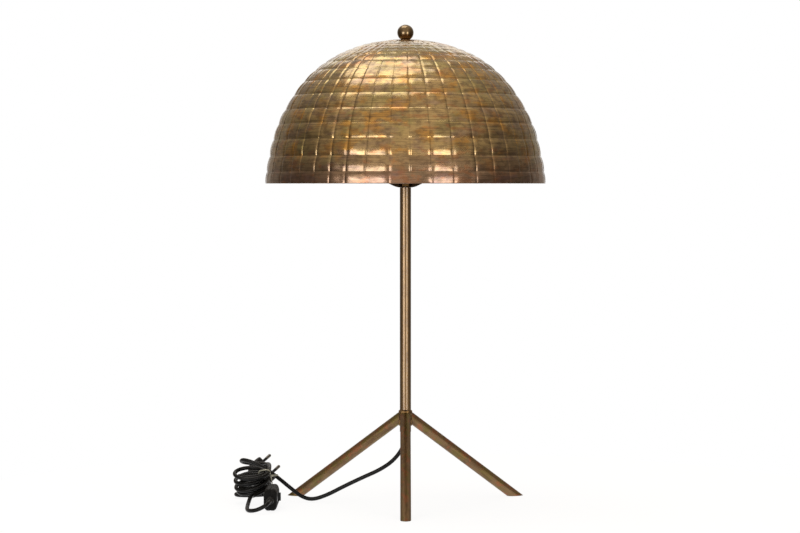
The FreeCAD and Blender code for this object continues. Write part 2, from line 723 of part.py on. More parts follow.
TO_PLUG = [Vector(-165.5, 20, 12), Vector(-167, 34, 8.5), Vector(-174, 44, 6), Vector(-184, 46, 5),
           Vector(-194, 44.5, 4.6), Vector(-205.7, 44.3, 4.5), Vector(-214.4, 49.3, 4.5),
           Vector(-216.7, 58, 4.6)]
ARC_SHARE = 0.45
LEAD_SHARE = 1.6
CLIMB_SHARE = 0.25
HEADING_SHARE = 0.002


def hank_roll():
    """The turn that leans the hank towards its front."""
    return Rotation(Vector(1, 0, 0), size("hank_roll"))


def hank_point(turns):
    """A point of the hank's centre line after a number of turns from the top layer at the tie."""
    layers = int(size("hank_layers"))
    per_layer = size("hank_turns") / layers
    whole = min(int(turns / per_layer), layers - 1)
    depth = turns - whole * per_layer
    if whole % 2:
        depth = per_layer - depth
    level = whole
    for step in range(1, layers):
        near = turns - step * per_layer
        if abs(near) < CLIMB_SHARE:
            level = step + (math.sin(math.pi / 2 * near / CLIMB_SHARE) - 1) / 2
    radius = size("hank_outer") - depth * size("hank_pitch")
    angle = -2 * math.pi * turns
    along = (radius + size("hank_stretch")) * math.cos(angle) - size("hank_outer") - size("hank_stretch")
    middle = (layers - 1) / 2
    lift = (middle - level) * size("hank_layer_gap")
    tilt = math.radians(size("hank_tilt") + (level - middle) * size("hank_fan"))
    offset = Vector(along * math.cos(tilt) - lift * math.sin(tilt), radius * math.sin(angle),
                    along * math.sin(tilt) + lift * math.cos(tilt))
    return HANK_TIE + hank_roll().multVec(offset)


def hank_heading(turns):
    """The direction in which the cord runs at a point of the hank."""
    before = hank_point(max(turns - HEADING_SHARE, 0))
    after = hank_point(min(turns + HEADING_SHARE, size("hank_turns")))
    return (after - before).normalize()


def arc_from(start, heading, end):
    """The arc that leaves start along heading and reaches end."""
    chord = end - start
    across = chord - heading * chord.dot(heading)
    if across.Length < 1e-6:
        return Part.LineSegment(start, end)
    radius = chord.dot(chord) / (2 * across.Length)
    centre = start + across.normalize() * radius
    middle = (start + end) * 0.5 - centre
    return Part.Arc(start, centre + middle.normalize() * radius, end)


def biarc(start, heading, end, final):
    """Two tangent arcs from one point and direction to another."""
    chord = end - start
    both = heading + final
    spread = 2 * (1 - heading.dot(final))
    if spread < 1e-9:
        reach = chord.dot(chord) / (4 * chord.dot(heading))
    else:
        part = chord.dot(both)
        reach = (math.sqrt(part * part + spread * chord.dot(chord)) - part) / spread
    joint = (start + heading * reach + end - final * reach) * 0.5
    second = arc_from(end, final * -1, joint)
    return [arc_from(start, heading, joint).toShape(), second.toShape()]


def report_gap(name, points, diameter, skip):
    """Prints the least gap between parts of a tube that are further apart than skip along it."""
    least = None
    for index, point in enumerate(points):
        for other in points[index + skip:]:
            gap = point.distanceToPoint(other) - diameter
            least = gap if least is None else min(least, gap)
    print("%s least gap to itself %.2f mm" % (name, least))


def make_hank():
    """The spare cord, wound in four fanned layers as one unbroken tube."""
    turns, diameter = size("hank_turns"), size("cord_diameter")
    quarters = int(round(turns * 4))
    edges = []
    first, last = hank_point(0), hank_point(turns)
    start_heading, end_heading = hank_heading(0), hank_heading(turns)
    edges.append(Part.LineSegment(first - start_heading * diameter, first).toShape())
    for index in range(quarters):
        begin, finish = turns * index / quarters, turns * (index + 1) / quarters
        edges += biarc(hank_point(begin), hank_heading(begin), hank_point(finish), hank_heading(finish))
    edges.append(Part.LineSegment(last, last + end_heading * diameter).toShape())
    wire = Part.Wire(Part.sortEdges(edges)[0])
    shape = swept(wire, diameter / 2)
    feature("cord_hank", shape)
    compare_volume("cord_hank", shape, wire)
    per_turn = 48
    points = [hank_point(index / per_turn) for index in range(int(turns * per_turn) + 1)]
    report_gap("cord_hank", points, diameter, per_turn // 3)
    return first - start_heading * diameter, last + end_heading * diameter, wire.Length


def compare_volume(name, shape, wire):
    """Prints a tube's volume against its section times its length."""
    ideal = math.pi * (size("cord_diameter") / 2) ** 2 * wire.Length
    print("%s length %.0f mm, volume ratio %.4f" % (name, wire.Length, shape.Volume / ideal))


def cord_tube(name, start, leaving, places, end, arriving):
    """A free stretch of cord from one piece to the next, leaving and arriving square to them."""
    lead = LEAD_SHARE * size("cord_diameter")
    route = [start, start + leaving * lead] + places + [end - arriving * lead, end]
    points, radii = [start], []
    for index in range(1, len(route) - 1):
        back, ahead = route[index - 1] - route[index], route[index + 1] - route[index]
        turn = math.pi - back.getAngle(ahead)
        points.append(route[index])
        radii.append(ARC_SHARE * min(back.Length, ahead.Length) / math.tan(turn / 2))
    wire = rounded_wire(points + [route[-1]], radii)
    shape = swept(wire, size("cord_diameter") / 2)
    feature(name, shape)
    compare_volume(name, shape, wire)
    print("%s radii %s" % (name, " ".join("%.0f" % radius for radius in radii)))
    return wire.Length


def make_cord():
    """The flex inside the stem, the free stretches, the hank and its tie."""
    leave = "Sizes.stem_bottom - Sizes.bushing_flange"
    keep("stem_flex", cylinder("inner_flex", "Sizes.cord_diameter / 2",
                               "Sizes.stem_top - Sizes.nipple_depth - Sizes.stem_bottom"
                               " + Sizes.bushing_flange", leave))
    start, end, wound = make_hank()
    backwards = Vector(0, 1, 0)
    half = size("switch_length") / 2 + size("switch_relief_length")
    free = cord_tube("cord_to_hank", Vector(0, 0, evaluate(leave)), Vector(0, 0, -1), TO_HANK,
                     start, hank_heading(0))
    free += cord_tube("cord_to_switch", end, hank_heading(size("hank_turns")), TO_SWITCH,
                      SWITCH_CENTRE - backwards * half, backwards)
    tail = PLUG_FACE - PLUG_AHEAD * (size("plug_length") + size("relief_length"))
    free += cord_tube("cord_to_plug", SWITCH_CENTRE + backwards * half, backwards, TO_PLUG,
                      tail, PLUG_AHEAD)
    print("cord outside the stem %.0f mm" % (free + wound))
    layers, reach = size("hank_layers"), size("cord_diameter") / 2 + size("tie_clearance")
    rise = (layers - 1) / 2 * size("hank_layer_gap") + reach + size("cord_diameter") / 2
    inward = size("hank_pitch") * size("hank_turns") / layers + reach
    wall = size("tie_thickness")
    hoop = Part.makeBox(inward + reach + 2 * wall, size("tie_width"), 2 * (rise + wall),
                        Vector(-inward - wall, -size("tie_width") / 2, -rise - wall))
    hollow = Part.makeBox(inward + reach, size("tie_width"), 2 * rise,
                          Vector(-inward, -size("tie_width") / 2, -rise))
    tie = feature("hank_tie", hoop.cut(hollow))
    tie.Placement = Placement(HANK_TIE, hank_roll() * Rotation(Vector(0, 1, 0), -size("hank_tilt")))


def rounded_box(length, width, depth, corner, edge):
    """A box about the origin, its long edges rounded by corner and its other edges by edge."""
    box = Part.makeBox(depth, length, width, Vector(-depth / 2, -length / 2, -width / 2))
    upright = [e for e in box.Edges if abs(e.tangentAt(0).x) > 0.5]
    box = box.makeFillet(corner, upright)
    return box.makeFillet(edge, [e for e in box.Edges if abs(abs(e.CenterOfMass.x) - depth / 2) < 1e-6])


def rod(radius, length, base, direction):
    """A short rod from a point along a direction."""
    return Part.makeCylinder(radius, length, base, direction)


def make_switch():
    """In-line switch: two half shells, rocker, screws and the two tapered reliefs."""
    length, width, depth = size("switch_length"), size("switch_width"), size("switch_depth")
    wall, corner, edge = size("switch_wall"), size("switch_corner"), size("switch_edge")
    outside = rounded_box(length, width, depth, corner, edge)
    inside = rounded_box(length - 2 * wall, width - 2 * wall, depth - 2 * wall,
                         corner - wall, edge / 2)
    boss_r = size("switch_screw_head") / 2 + wall / 2
    right = Vector(1, 0, 0)
    shell = outside.cut(inside)
    screws = []
    for side in (-1, 1):
        place = Vector(-depth / 2 + wall / 2, side * size("switch_screw_offset"), 0)
        shell = shell.fuse(rod(boss_r, depth - wall, place, right))
        shank_r = size("switch_screw_diameter") / 2
        shank = rod(shank_r, depth - 2 * wall, place + right * (wall / 2), right)
        head = rod(size("switch_screw_head") / 2, wall, Vector(depth / 2 - wall, place.y, 0), right)
        screw = shank.fuse(head)
        shell = shell.cut(screw)
        screws.append(screw)
    long, wide = size("rocker_length"), size("rocker_width")
    gap, pin = size("rocker_clearance"), size("rocker_pin")
    lug_wall = 2 * pin
    open_width = wide + 2 * gap
    window = Part.makeBox(depth, long + 2 * gap, open_width, Vector(0, -long / 2 - gap, -open_width / 2))
    pivot = Vector(depth / 2 - size("rocker_depth") + pin, 0, 0)
    lug = Part.makeBox(size("rocker_depth") + pin - wall / 2, 2 * lug_wall, open_width + 2 * lug_wall,
                       pivot - Vector(lug_wall, lug_wall, open_width / 2 + lug_wall))
    bearing = rod(pin + size("rocker_pin_clearance"), open_width + 2 * lug_wall,
                  pivot - Vector(0, 0, open_width / 2 + lug_wall), Vector(0, 0, 1))
    right_half = Part.makeBox(depth, 2 * length, 2 * width, Vector(0, -length, -width))
    cover = shell.common(right_half).fuse(lug).cut(window).cut(bearing)
    base = shell.cut(right_half)
    rise = size("rocker_rise")
    low, top = -lug_wall + pin / 2, size("rocker_depth") - pin
    profile = Part.makePolygon([
        Vector(low, -long / 2 + gap, 0), Vector(top + rise, -long / 2 + gap + rise, 0),
        Vector(top - rise / 2, 0, 0), Vector(top + rise, long / 2 - gap - rise, 0),
        Vector(low, long / 2 - gap, 0), Vector(low, -long / 2 + gap, 0),
    ])
    key = Part.Face(profile).extrude(Vector(0, 0, wide))
    key.translate(Vector(0, 0, -wide / 2))
    pin_end = open_width / 2 + lug_wall - pin / 2
    key = key.fuse(rod(pin, 2 * pin_end, Vector(0, 0, -pin_end), Vector(0, 0, 1)))
    tilt = math.degrees(math.atan(rise / (long / 2)))
    key.rotate(Vector(0, 0, 0), Vector(0, 0, 1), -tilt)
    key.translate(pivot)
    print("rocker travel %.1f degrees" % (2 * tilt))
    reliefs = []
    for side in (-1, 1):
        start = Vector(0, side * length / 2, 0)
        reliefs.append(Part.makeCone(size("switch_relief_root"), size("relief_end"),
                                     size("switch_relief_length"), start, Vector(0, side, 0)))
    pieces = {
        "switch_base": base, "switch_cover": cover, "switch_rocker": key,
        "switch_screws": Part.makeCompound(screws), "switch_reliefs": Part.makeCompound(reliefs),
    }
    for name, shape in pieces.items():
        feature(name, shape).Placement = Placement(SWITCH_CENTRE, Rotation()) * shape.Placement


def make_plug():
    """Flat two-pin plug: moulded body, tapered relief, pins and the sleeves on their roots."""
    sections = [
        (0.0, size("plug_width"), size("plug_depth")),
        (-size("plug_length") / 2, size("plug_width"), size("plug_depth")),
        (-size("plug_length"), size("plug_tail_width"), size("plug_tail_depth")),
    ]
    outlines = []
    for along, width, depth in sections:
        outlines.append(Part.makePolygon([
            Vector(-width / 2, -depth / 2 + size("plug_edge"), along),
            Vector(-width / 2 + size("plug_edge"), -depth / 2, along),
            Vector(width / 2 - size("plug_edge"), -depth / 2, along),
            Vector(width / 2, -depth / 2 + size("plug_edge"), along),
            Vector(width / 2, depth / 2 - size("plug_edge"), along),
            Vector(width / 2 - size("plug_edge"), depth / 2, along),
            Vector(-width / 2 + size("plug_edge"), depth / 2, along),
            Vector(-width / 2, depth / 2 - size("plug_edge"), along),
            Vector(-width / 2, -depth / 2 + size("plug_edge"), along),
        ]))
    body = Part.makeLoft(outlines, True, True)
    ahead = Vector(0, 0, 1)
    pins, sleeves = [], []
    core, tip = size("pin_core_diameter") / 2, size("pin_diameter") / 2
    sleeved = size("pin_sleeve_length")
    for side in (-1, 1):
        foot = Vector(side * size("pin_pitch") / 2, 0, 0)
        buried = rod(core, size("pin_root") + sleeved, foot - ahead * size("pin_root"), ahead)
        bare = rod(tip, size("pin_length") - sleeved - size("pin_tip"), foot + ahead * sleeved, ahead)
        point = Part.makeCone(tip, tip / 2, size("pin_tip"), foot + ahead * (size("pin_length") - size("pin_tip")),
                              ahead)
        pin = buried.fuse([bare, point])
        body = body.cut(buried)
        pins.append(pin)
        sleeves.append(rod(size("pin_sleeve_diameter") / 2, sleeved, foot, ahead).cut(buried))
    relief = Part.makeCone(size("relief_end"), size("relief_root"), size("relief_length"),
                           ahead * -(size("plug_length") + size("relief_length")), ahead)
    pieces = {
        "plug_body": body, "plug_relief": relief, "plug_pins": Part.makeCompound(pins),
        "plug_pin_sleeves": Part.makeCompound(sleeves),
    }
    turn = Rotation(PLUG_ACROSS, PLUG_AHEAD.cross(PLUG_ACROSS), PLUG_AHEAD, "ZXY")
    for name, shape in pieces.items():
        feature(name, shape).Placement = Placement(PLUG_FACE, turn) * shape.Placement


for make in (make_stem, make_legs, make_bushing, make_fittings, make_saddle, make_harp, make_stud,
             make_finial, make_holder, make_bulb, make_shade, make_cord, make_switch, make_plug):
    make()
    doc.recompute()

for item in doc.Objects:
    if "Invalid" in item.State or "Error" in item.State:
        raise RuntimeError("%s did not compute: %s" % (item.Name, item.State))
for name, item in nodes.items():
    if item.Shape.isNull() or not item.Shape.isValid() or item.Shape.Volume <= 0:
        raise RuntimeError("%s has no sound shape" % name)

os.makedirs("parts", exist_ok=True)
for name, item in nodes.items():
    item.Shape.exportStep("parts/%s.step" % name)
print("%d sub-parts written" % len(nodes))
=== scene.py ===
import math

import bmesh
import bpy
from mathutils import Matrix, Vector


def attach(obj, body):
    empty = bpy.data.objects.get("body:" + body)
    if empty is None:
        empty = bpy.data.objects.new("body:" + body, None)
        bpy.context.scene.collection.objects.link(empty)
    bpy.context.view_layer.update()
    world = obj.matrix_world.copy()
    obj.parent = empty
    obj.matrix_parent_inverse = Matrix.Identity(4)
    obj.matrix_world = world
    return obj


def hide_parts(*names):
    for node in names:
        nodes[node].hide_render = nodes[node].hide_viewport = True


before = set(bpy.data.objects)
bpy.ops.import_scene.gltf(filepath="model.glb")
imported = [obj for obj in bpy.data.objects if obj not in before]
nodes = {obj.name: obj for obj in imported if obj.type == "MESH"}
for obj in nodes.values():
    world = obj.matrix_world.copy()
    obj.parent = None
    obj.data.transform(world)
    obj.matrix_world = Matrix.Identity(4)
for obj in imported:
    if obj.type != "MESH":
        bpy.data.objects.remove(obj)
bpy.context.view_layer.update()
mm = 0.001
print("frame loaded:", len(nodes), "nodes")


def linear(hexColour):
    channels = [int(hexColour[i:i + 2], 16) / 255 for i in (1, 3, 5)]
    return [c / 12.92 if c <= 0.04045 else ((c + 0.055) / 1.055) ** 2.4 for c in channels] + [1]


def addNode(tree, kind, inputs=None, **settings):
    # an input is a value, a socket, or a node whose first output is meant
    node = tree.nodes.new(kind)
    for name, value in settings.items():
        setattr(node, name, value)
    for key, value in (inputs or {}).items():
        if isinstance(value, bpy.types.Node):
            value = value.outputs[0]
        if isinstance(value, bpy.types.NodeSocket):
            tree.links.new(value, node.inputs[key])
        else:
            node.inputs[key].default_value = value
    return node


def addObject(name, data, material=None):
    item = bpy.data.objects.new(name, data)
    bpy.context.scene.collection.objects.link(item)
    if material:
        data.materials.clear()
        data.materials.append(material)
    return item


def coat(material, *names):
    for name in names:
        nodes[name].data.materials.clear()
        nodes[name].data.materials.append(material)


def dress(piece, body, slot, *hidden):
    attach(piece, body)
    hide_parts(*hidden)


def plainMesh(item):
    # the evaluated object as a plain mesh, its modifiers gone
    graph = bpy.context.evaluated_depsgraph_get()
    mesh = bpy.data.meshes.new_from_object(item.evaluated_get(graph), depsgraph=graph)
    item.modifiers.clear()
    if item.type == "MESH":
        item.data = mesh
        return item
    return addObject(item.name + "Mesh", mesh)


def smooth(mesh, sharpFrom=None):
    mesh.polygons.foreach_set("use_smooth", [True] * len(mesh.polygons))
    if sharpFrom:
        mesh.set_sharp_from_angle(angle=math.radians(sharpFrom))


def meshOf(name, shape):
    # the bmesh written to a mesh of that name
    mesh = bpy.data.meshes.new(name)
    shape.to_mesh(mesh)
    shape.free()
    return mesh


def ringFaces(rings, around):
    # quads between closed rings of points, which are listed ring on ring
    return [(ring * around + i, ring * around + (i + 1) % around,
             (ring + 1) * around + (i + 1) % around, (ring + 1) * around + i)
            for ring in range(rings - 1) for i in range(around)]


def addTube(name, paths, shape, material):
    # a round tube along each smooth path of points in millimetres
    curve = bpy.data.curves.new(name, "CURVE")
    curve.dimensions = "3D"
    curve.bevel_depth = shape["diameter"] / 2
    curve.bevel_resolution = shape["roundSteps"]
    curve.resolution_u = shape["lengthSteps"]
    curve.use_fill_caps = True
    for places in paths:
        spline = curve.splines.new("NURBS")
        spline.points.add(len(places) - 1)
        for target, place in zip(spline.points, places):
            target.co = (*(Vector(place) * mm), 1)
        spline.order_u = 3
        spline.use_endpoint_u = True
    return addObject(name, curve, material)


def startTree(name, sizes):
    # a Geometry Nodes tree with a named input for each size
    tree = bpy.data.node_groups.new(name, "GeometryNodeTree")
    tree.interface.new_socket("Geometry", in_out="INPUT", socket_type="NodeSocketGeometry")
    identifiers = {}
    for size, value in sizes.items():
        kind = "NodeSocketInt" if isinstance(value, int) else "NodeSocketFloat"
        identifiers[size] = tree.interface.new_socket(size, in_out="INPUT", socket_type=kind).identifier
    tree.interface.new_socket("Geometry", in_out="OUTPUT", socket_type="NodeSocketGeometry")
    return tree, identifiers, addNode(tree, "NodeGroupInput").outputs


def endTree(tree, geometry, material):
    realized = addNode(tree, "GeometryNodeRealizeInstances", {"Geometry": geometry})
    painted = addNode(tree, "GeometryNodeSetMaterial", {"Geometry": realized, "Material": material})
    addNode(tree, "NodeGroupOutput", {"Geometry": painted})


def runTree(item, tree, identifiers, sizes):
    modifier = item.modifiers.new(tree.name, "NODES")
    modifier.node_group = tree
    for size, value in sizes.items():
        modifier[identifiers[size]] = value


# camera: long lens at the height of the shade's rim, tilted down a little
cameraView = {
    "place": (-6.8 * mm, -3208 * mm, 401 * mm),
    "lens": 115.5,
    "tiltDown": 1.853,
}


def makeCamera(view):
    data = bpy.data.cameras.new("photoCamera")
    data.lens = view["lens"]
    camera = addObject("photoCamera", data)
    camera.location = view["place"]
    camera.rotation_euler = (math.radians(90 - view["tiltDown"]), 0, 0)
    bpy.context.scene.camera = camera


makeCamera(cameraView)


# every look is noises laid over each other, which tint the colour, vary the gloss and stand out as bumps:
# noises have a size in mm, stretch and detail, layers a field, low, high, share and tint,
# gloss a field, low, high, smoothest and roughest, and bumps a field and a depth in mm
noiseBasics = {
    "shift": (3.1, 1.7, 2.3),  # sets each noise of a look apart from the one before
    "roughness": 0.6,
}


def makeMaterial(name, look, along=(0, 0, 1)):
    material = bpy.data.materials.new(name)
    material.use_nodes = True
    tree = material.node_tree
    shader = tree.nodes["Principled BSDF"]
    grain = addNode(tree, "ShaderNodeMapping", {
        "Vector": addNode(tree, "ShaderNodeTexCoord").outputs["Object"],
        "Rotation": Vector(along).rotation_difference(Vector((0, 0, 1))).to_euler()})
    fields = {"height": addNode(tree, "ShaderNodeSeparateXYZ", {0: grain}).outputs["Z"]}
    for number, (field, (size, stretch, detail)) in enumerate(look["noises"].items()):
        shifted = addNode(tree, "ShaderNodeMapping", {
            "Vector": grain, "Location": [shift * number for shift in noiseBasics["shift"]],
            "Scale": [1 / (size * mm * s) for s in stretch]})
        fields[field] = addNode(tree, "ShaderNodeTexNoise", {
            "Vector": shifted, "Scale": 1.0, "Detail": detail, "Roughness": noiseBasics["roughness"]})
    for field in look.get("attributes", ()):
        fields[field] = addNode(tree, "ShaderNodeAttribute", attribute_name=field).outputs["Fac"]
    colour = linear(look["colour"])
    for field, low, high, share, tint in look["layers"]:
        amount = addNode(tree, "ShaderNodeMapRange", {
            "Value": fields[field], "From Min": low, "From Max": high, "To Max": share},
            interpolation_type="SMOOTHSTEP")
        # the Mix node keeps its colours in sockets 6 and 7 and gives theirs out at 2
        colour = addNode(tree, "ShaderNodeMix", {0: amount, 6: colour, 7: linear(tint)},
                         data_type="RGBA").outputs[2]
    tree.links.new(colour, shader.inputs["Base Color"])
    field, low, high, smoothest, roughest = look["gloss"]
    gloss = addNode(tree, "ShaderNodeMapRange", {
        "Value": fields[field], "From Min": low, "From Max": high, "To Min": smoothest, "To Max": roughest})
    tree.links.new(gloss.outputs[0], shader.inputs["Roughness"])
    normal = addNode(tree, "ShaderNodeNewGeometry").outputs["Normal"]
    for field, depth in look["bumps"]:
        normal = addNode(tree, "ShaderNodeBump", {
            "Height": fields[field], "Distance": depth * mm, "Normal": normal}).outputs[0]
    tree.links.new(normal, shader.inputs["Normal"])
    for socket, value in look["shader"].items():
        shader.inputs[socket].default_value = value
    return material


# drawn vinyl flex: near black with a low sheen, so it shows long narrow glints and faint scuffs
vinylFlex = {
    "noises": {"peel": (1.2, (1, 1, 1), 2), "scuff": (12, (1, 1, 1), 4)},
    "colour": "#070707",
    "layers": [("scuff", 0.5, 0.72, 0.6, "#131314")],
    "gloss": ("scuff", 0.3, 0.7, 0.26, 0.42),
    "bumps": [("peel", 0.02)],
    "shader": {"IOR": 1.45, "Specular IOR Level": 0.22},
}
flexMaterial = makeMaterial("drawnVinylFlex", vinylFlex)

# the cord: its route from the bushing to the hank, to the switch and to the plug, in millimetres
cordRoute = {
    "diameter": 5 * mm,
    "roundSteps": 5,
    "lengthSteps": 6,
    "exit": (0, 0, 90.4),
    "lead": 8,
    "toHank": [
        (-4, -1, 68), (-16, -2, 53), (-33, -3, 42), (-54, 0, 32.5), (-77, 5, 21), (-98, 10, 9.5),
        (-117, 12, 2.9), (-131, 15, 6.5), (-145, 20, 17), (-163, 30, 30.5), (-178, 37, 39.5),
        (-191, 42, 46), (-200.5, 45, 49), (-207.5, 50, 49.5), (-210, 59.5, 46.5), (-204.5, 69, 43.5),
        (-195, 71.5, 42.5), (-185.5, 68.5, 42.5), (-178, 59.5, 43), (-174, 46, 44.5), (-171.8, 28, 45.5),
    ],
    "toSwitch": [
        (-192.5, -21.5, 12), (-193.5, -40, 9), (-194, -62, 6), (-194, -84, 3), (-190, -96.5, 2.7),
        (-181, -104, 4.5), (-171, -105.5, 9.5),
    ],
    "toPlug": [
        (-165.5, 20, 12), (-167, 34, 8.5), (-174, 44, 6), (-184, 46, 5), (-194, 44.5, 4.6),
        (-205.7, 44.3, 4.5), (-214.4, 49.3, 4.5), (-216.7, 58, 4.6),
    ],
    "switchFront": (-165.5, -89, 13.7),
    "switchBack": (-165.5, -7, 13.7),
    "plugFace": (-180, 106, 32.5),
    "plugAhead": (0.5617, 0.683, 0.4669),
    "plugLength": 31,
    "reliefLength": 20,
}

# the hank: spare cord wound in four layers that spiral in and out, drawn in at the tie and fanned
hankShape = {
    "tie": (-171.5, 3, 31),
    "layers": 4,
    "turns": 6.15,
    "outer": 19,
    "stretch": 3.7,
    "pitch": 5.5,
    "layerGap": 5.6,
    "fan": 4.0,
    "fanClosing": 1.25,
    "tilt": 10.31,
    "roll": 20,
    "climb": 0.25,
    "straightEnd": 5,
    "pointsPerTurn": 16,
    "headingStep": 0.002,
}


def hankPoint(hank, turns):
    # where the hank's centre line is after so many turns
    perLayer = hank["turns"] / hank["layers"]
    layer = min(int(turns / perLayer), hank["layers"] - 1)
    depth = turns - layer * perLayer
    if layer % 2:
        depth = perLayer - depth
    level = layer
    for step in range(1, hank["layers"]):
        near = turns - step * perLayer
        if abs(near) < hank["climb"]:
            level = step + (math.sin(math.pi / 2 * near / hank["climb"]) - 1) / 2
    radius = hank["outer"] - depth * hank["pitch"]
    angle = -2 * math.pi * turns
    along = (radius + hank["stretch"]) * math.cos(angle) - hank["outer"] - hank["stretch"]
    middle = (hank["layers"] - 1) / 2
    lift = (middle - level) * hank["layerGap"]
    rank = level - middle
    tilt = math.radians(hank["tilt"] + rank * hank["fan"] - rank * rank * hank["fanClosing"])
    offset = Vector((along * math.cos(tilt) - lift * math.sin(tilt), radius * math.sin(angle),
                     along * math.sin(tilt) + lift * math.cos(tilt)))
    return Vector(hank["tie"]) + Matrix.Rotation(math.radians(hank["roll"]), 3, "X") @ offset


def hankHeading(hank, turns):
    behind, ahead = max(turns - hank["headingStep"], 0), min(turns + hank["headingStep"], hank["turns"])
    return (hankPoint(hank, ahead) - hankPoint(hank, behind)).normalized()


def centreLine(flex):
    # the route's own line, read from the spline with its bevel off
    bare = flex.data.copy()
    bare.bevel_depth = 0
    holder = bpy.data.objects.new("centreLine", bare)
    mesh = bpy.data.meshes.new_from_object(holder)
    places = [v.co.copy() for v in mesh.vertices]
    bpy.data.objects.remove(holder)
    bpy.data.meshes.remove(mesh)
    return places


def lineLength(places):
    return sum((b - a).length for a, b in zip(places, places[1:]))


def makeCord(route, hank):
    start = Vector(route["exit"])
    lead = route["lead"]
    entering, leaving = hankHeading(hank, 0), hankHeading(hank, hank["turns"])
    hankStart = hankPoint(hank, 0) - entering * hank["straightEnd"]
    hankEnd = hankPoint(hank, hank["turns"]) + leaving * hank["straightEnd"]
    count = int(hank["turns"] * hank["pointsPerTurn"])
    wound = [hankPoint(hank, hank["turns"] * i / count) for i in range(count + 1)]
    front = Vector(route["switchFront"])
    points = [start, start - Vector((0, 0, lead)), *route["toHank"], hankStart - entering * lead, hankStart,
              *wound, hankEnd, hankEnd + leaving * lead, *route["toSwitch"],
              front - Vector((0, lead, 0)), front]
    main = addTube("mainFlex", [points], route, flexMaterial)
    back = Vector(route["switchBack"])
    ahead = Vector(route["plugAhead"]).normalized()
    tail = Vector(route["plugFace"]) - ahead * (route["plugLength"] + route["reliefLength"])
    tailPoints = [back, back + Vector((0, lead, 0)), *route["toPlug"], tail - ahead * lead, tail]
    return main, addTube("plugFlex", [tailPoints], route, flexMaterial)


mainFlex, plugFlex = makeCord(cordRoute, hankShape)
dress(mainFlex, "stand", "cord_sheath", "cord_to_hank", "cord_hank", "cord_to_switch")
dress(plugFlex, "stand", "cord_sheath", "cord_to_plug")
coat(flexMaterial, "stem_flex")


# shade: sheet brass beaten over a form into pillow-shaped cells between seams and rows, then aged
shadeShape = {
    "rim": 401,
    "radius": 175,
    "height": 178.5,
    "wall": 1.0,
    # the rows' edges from the rim up, as shares of the height and of the radius
    "rowHeightShares": [0, 0.081, 0.189, 0.304, 0.412, 0.513, 0.614, 0.708, 0.785, 0.841, 0.883, 0.915,
                        0.938, 0.958, 0.974, 0.987, 0.995],
    "rowRadiusShares": [1, 0.990, 0.968, 0.942, 0.906, 0.857, 0.795, 0.724, 0.646, 0.573, 0.506, 0.440,
                        0.384, 0.326, 0.264, 0.196, 0.122],
    "frontSeams": [-70.2, -61.2, -53.4, -47.5, -39.2, -31.6, -24.5, -16.2, -6.6, 1.8, 10.3, 19.4, 29.0,
                   37.6, 46.1, 53.7, 61.2, 69.0],  # degrees from the front, as hand spacing left them
    "backCells": 27,
    "acrossSteps": [0, 0.035, 0.085, 0.2, 0.4, 0.6, 0.8, 0.915, 0.965],
    "tallSteps": [0, 0.05, 0.13, 0.3, 0.5, 0.7, 0.87, 0.95],
    "shortSteps": [0, 0.12, 0.35, 0.65, 0.88],
    "shortRow": 9,
    "fullRow": 2,  # rows less tall than this one are crowned and creased less
    "crownRings": [15, 9, 3.3],  # in to the hole for the stud
    "crownFade": 1.8,
    "seed": 7,
    "numbersPerRow": 100,  # cells are numbered for the random draws
    "sizes": {"bulgeLeast": 0.8, "bulgeMost": 1.3, "acrossBulge": 0.16, "lean": 0.9, "seamLift": -0.8,
              "rowLift": -0.45, "creaseWidth": 1.6, "dent": 0.3, "dentSize": 14, "sway": 1.1, "swaySize": 45},
}


# what is kept on each point of the lattice for the tree to read
cellFacts = ("across", "up", "cellWidth", "rowTall", "rowShare", "cellNumber")
cellWays = ("outward", "sideways")


def seamAngles(shape):
    angles = list(shape["frontSeams"])
    start, span = angles[-1], 360 + angles[0] - angles[-1]
    return angles + [start + span * i / shape["backCells"] for i in range(1, shape["backCells"])]


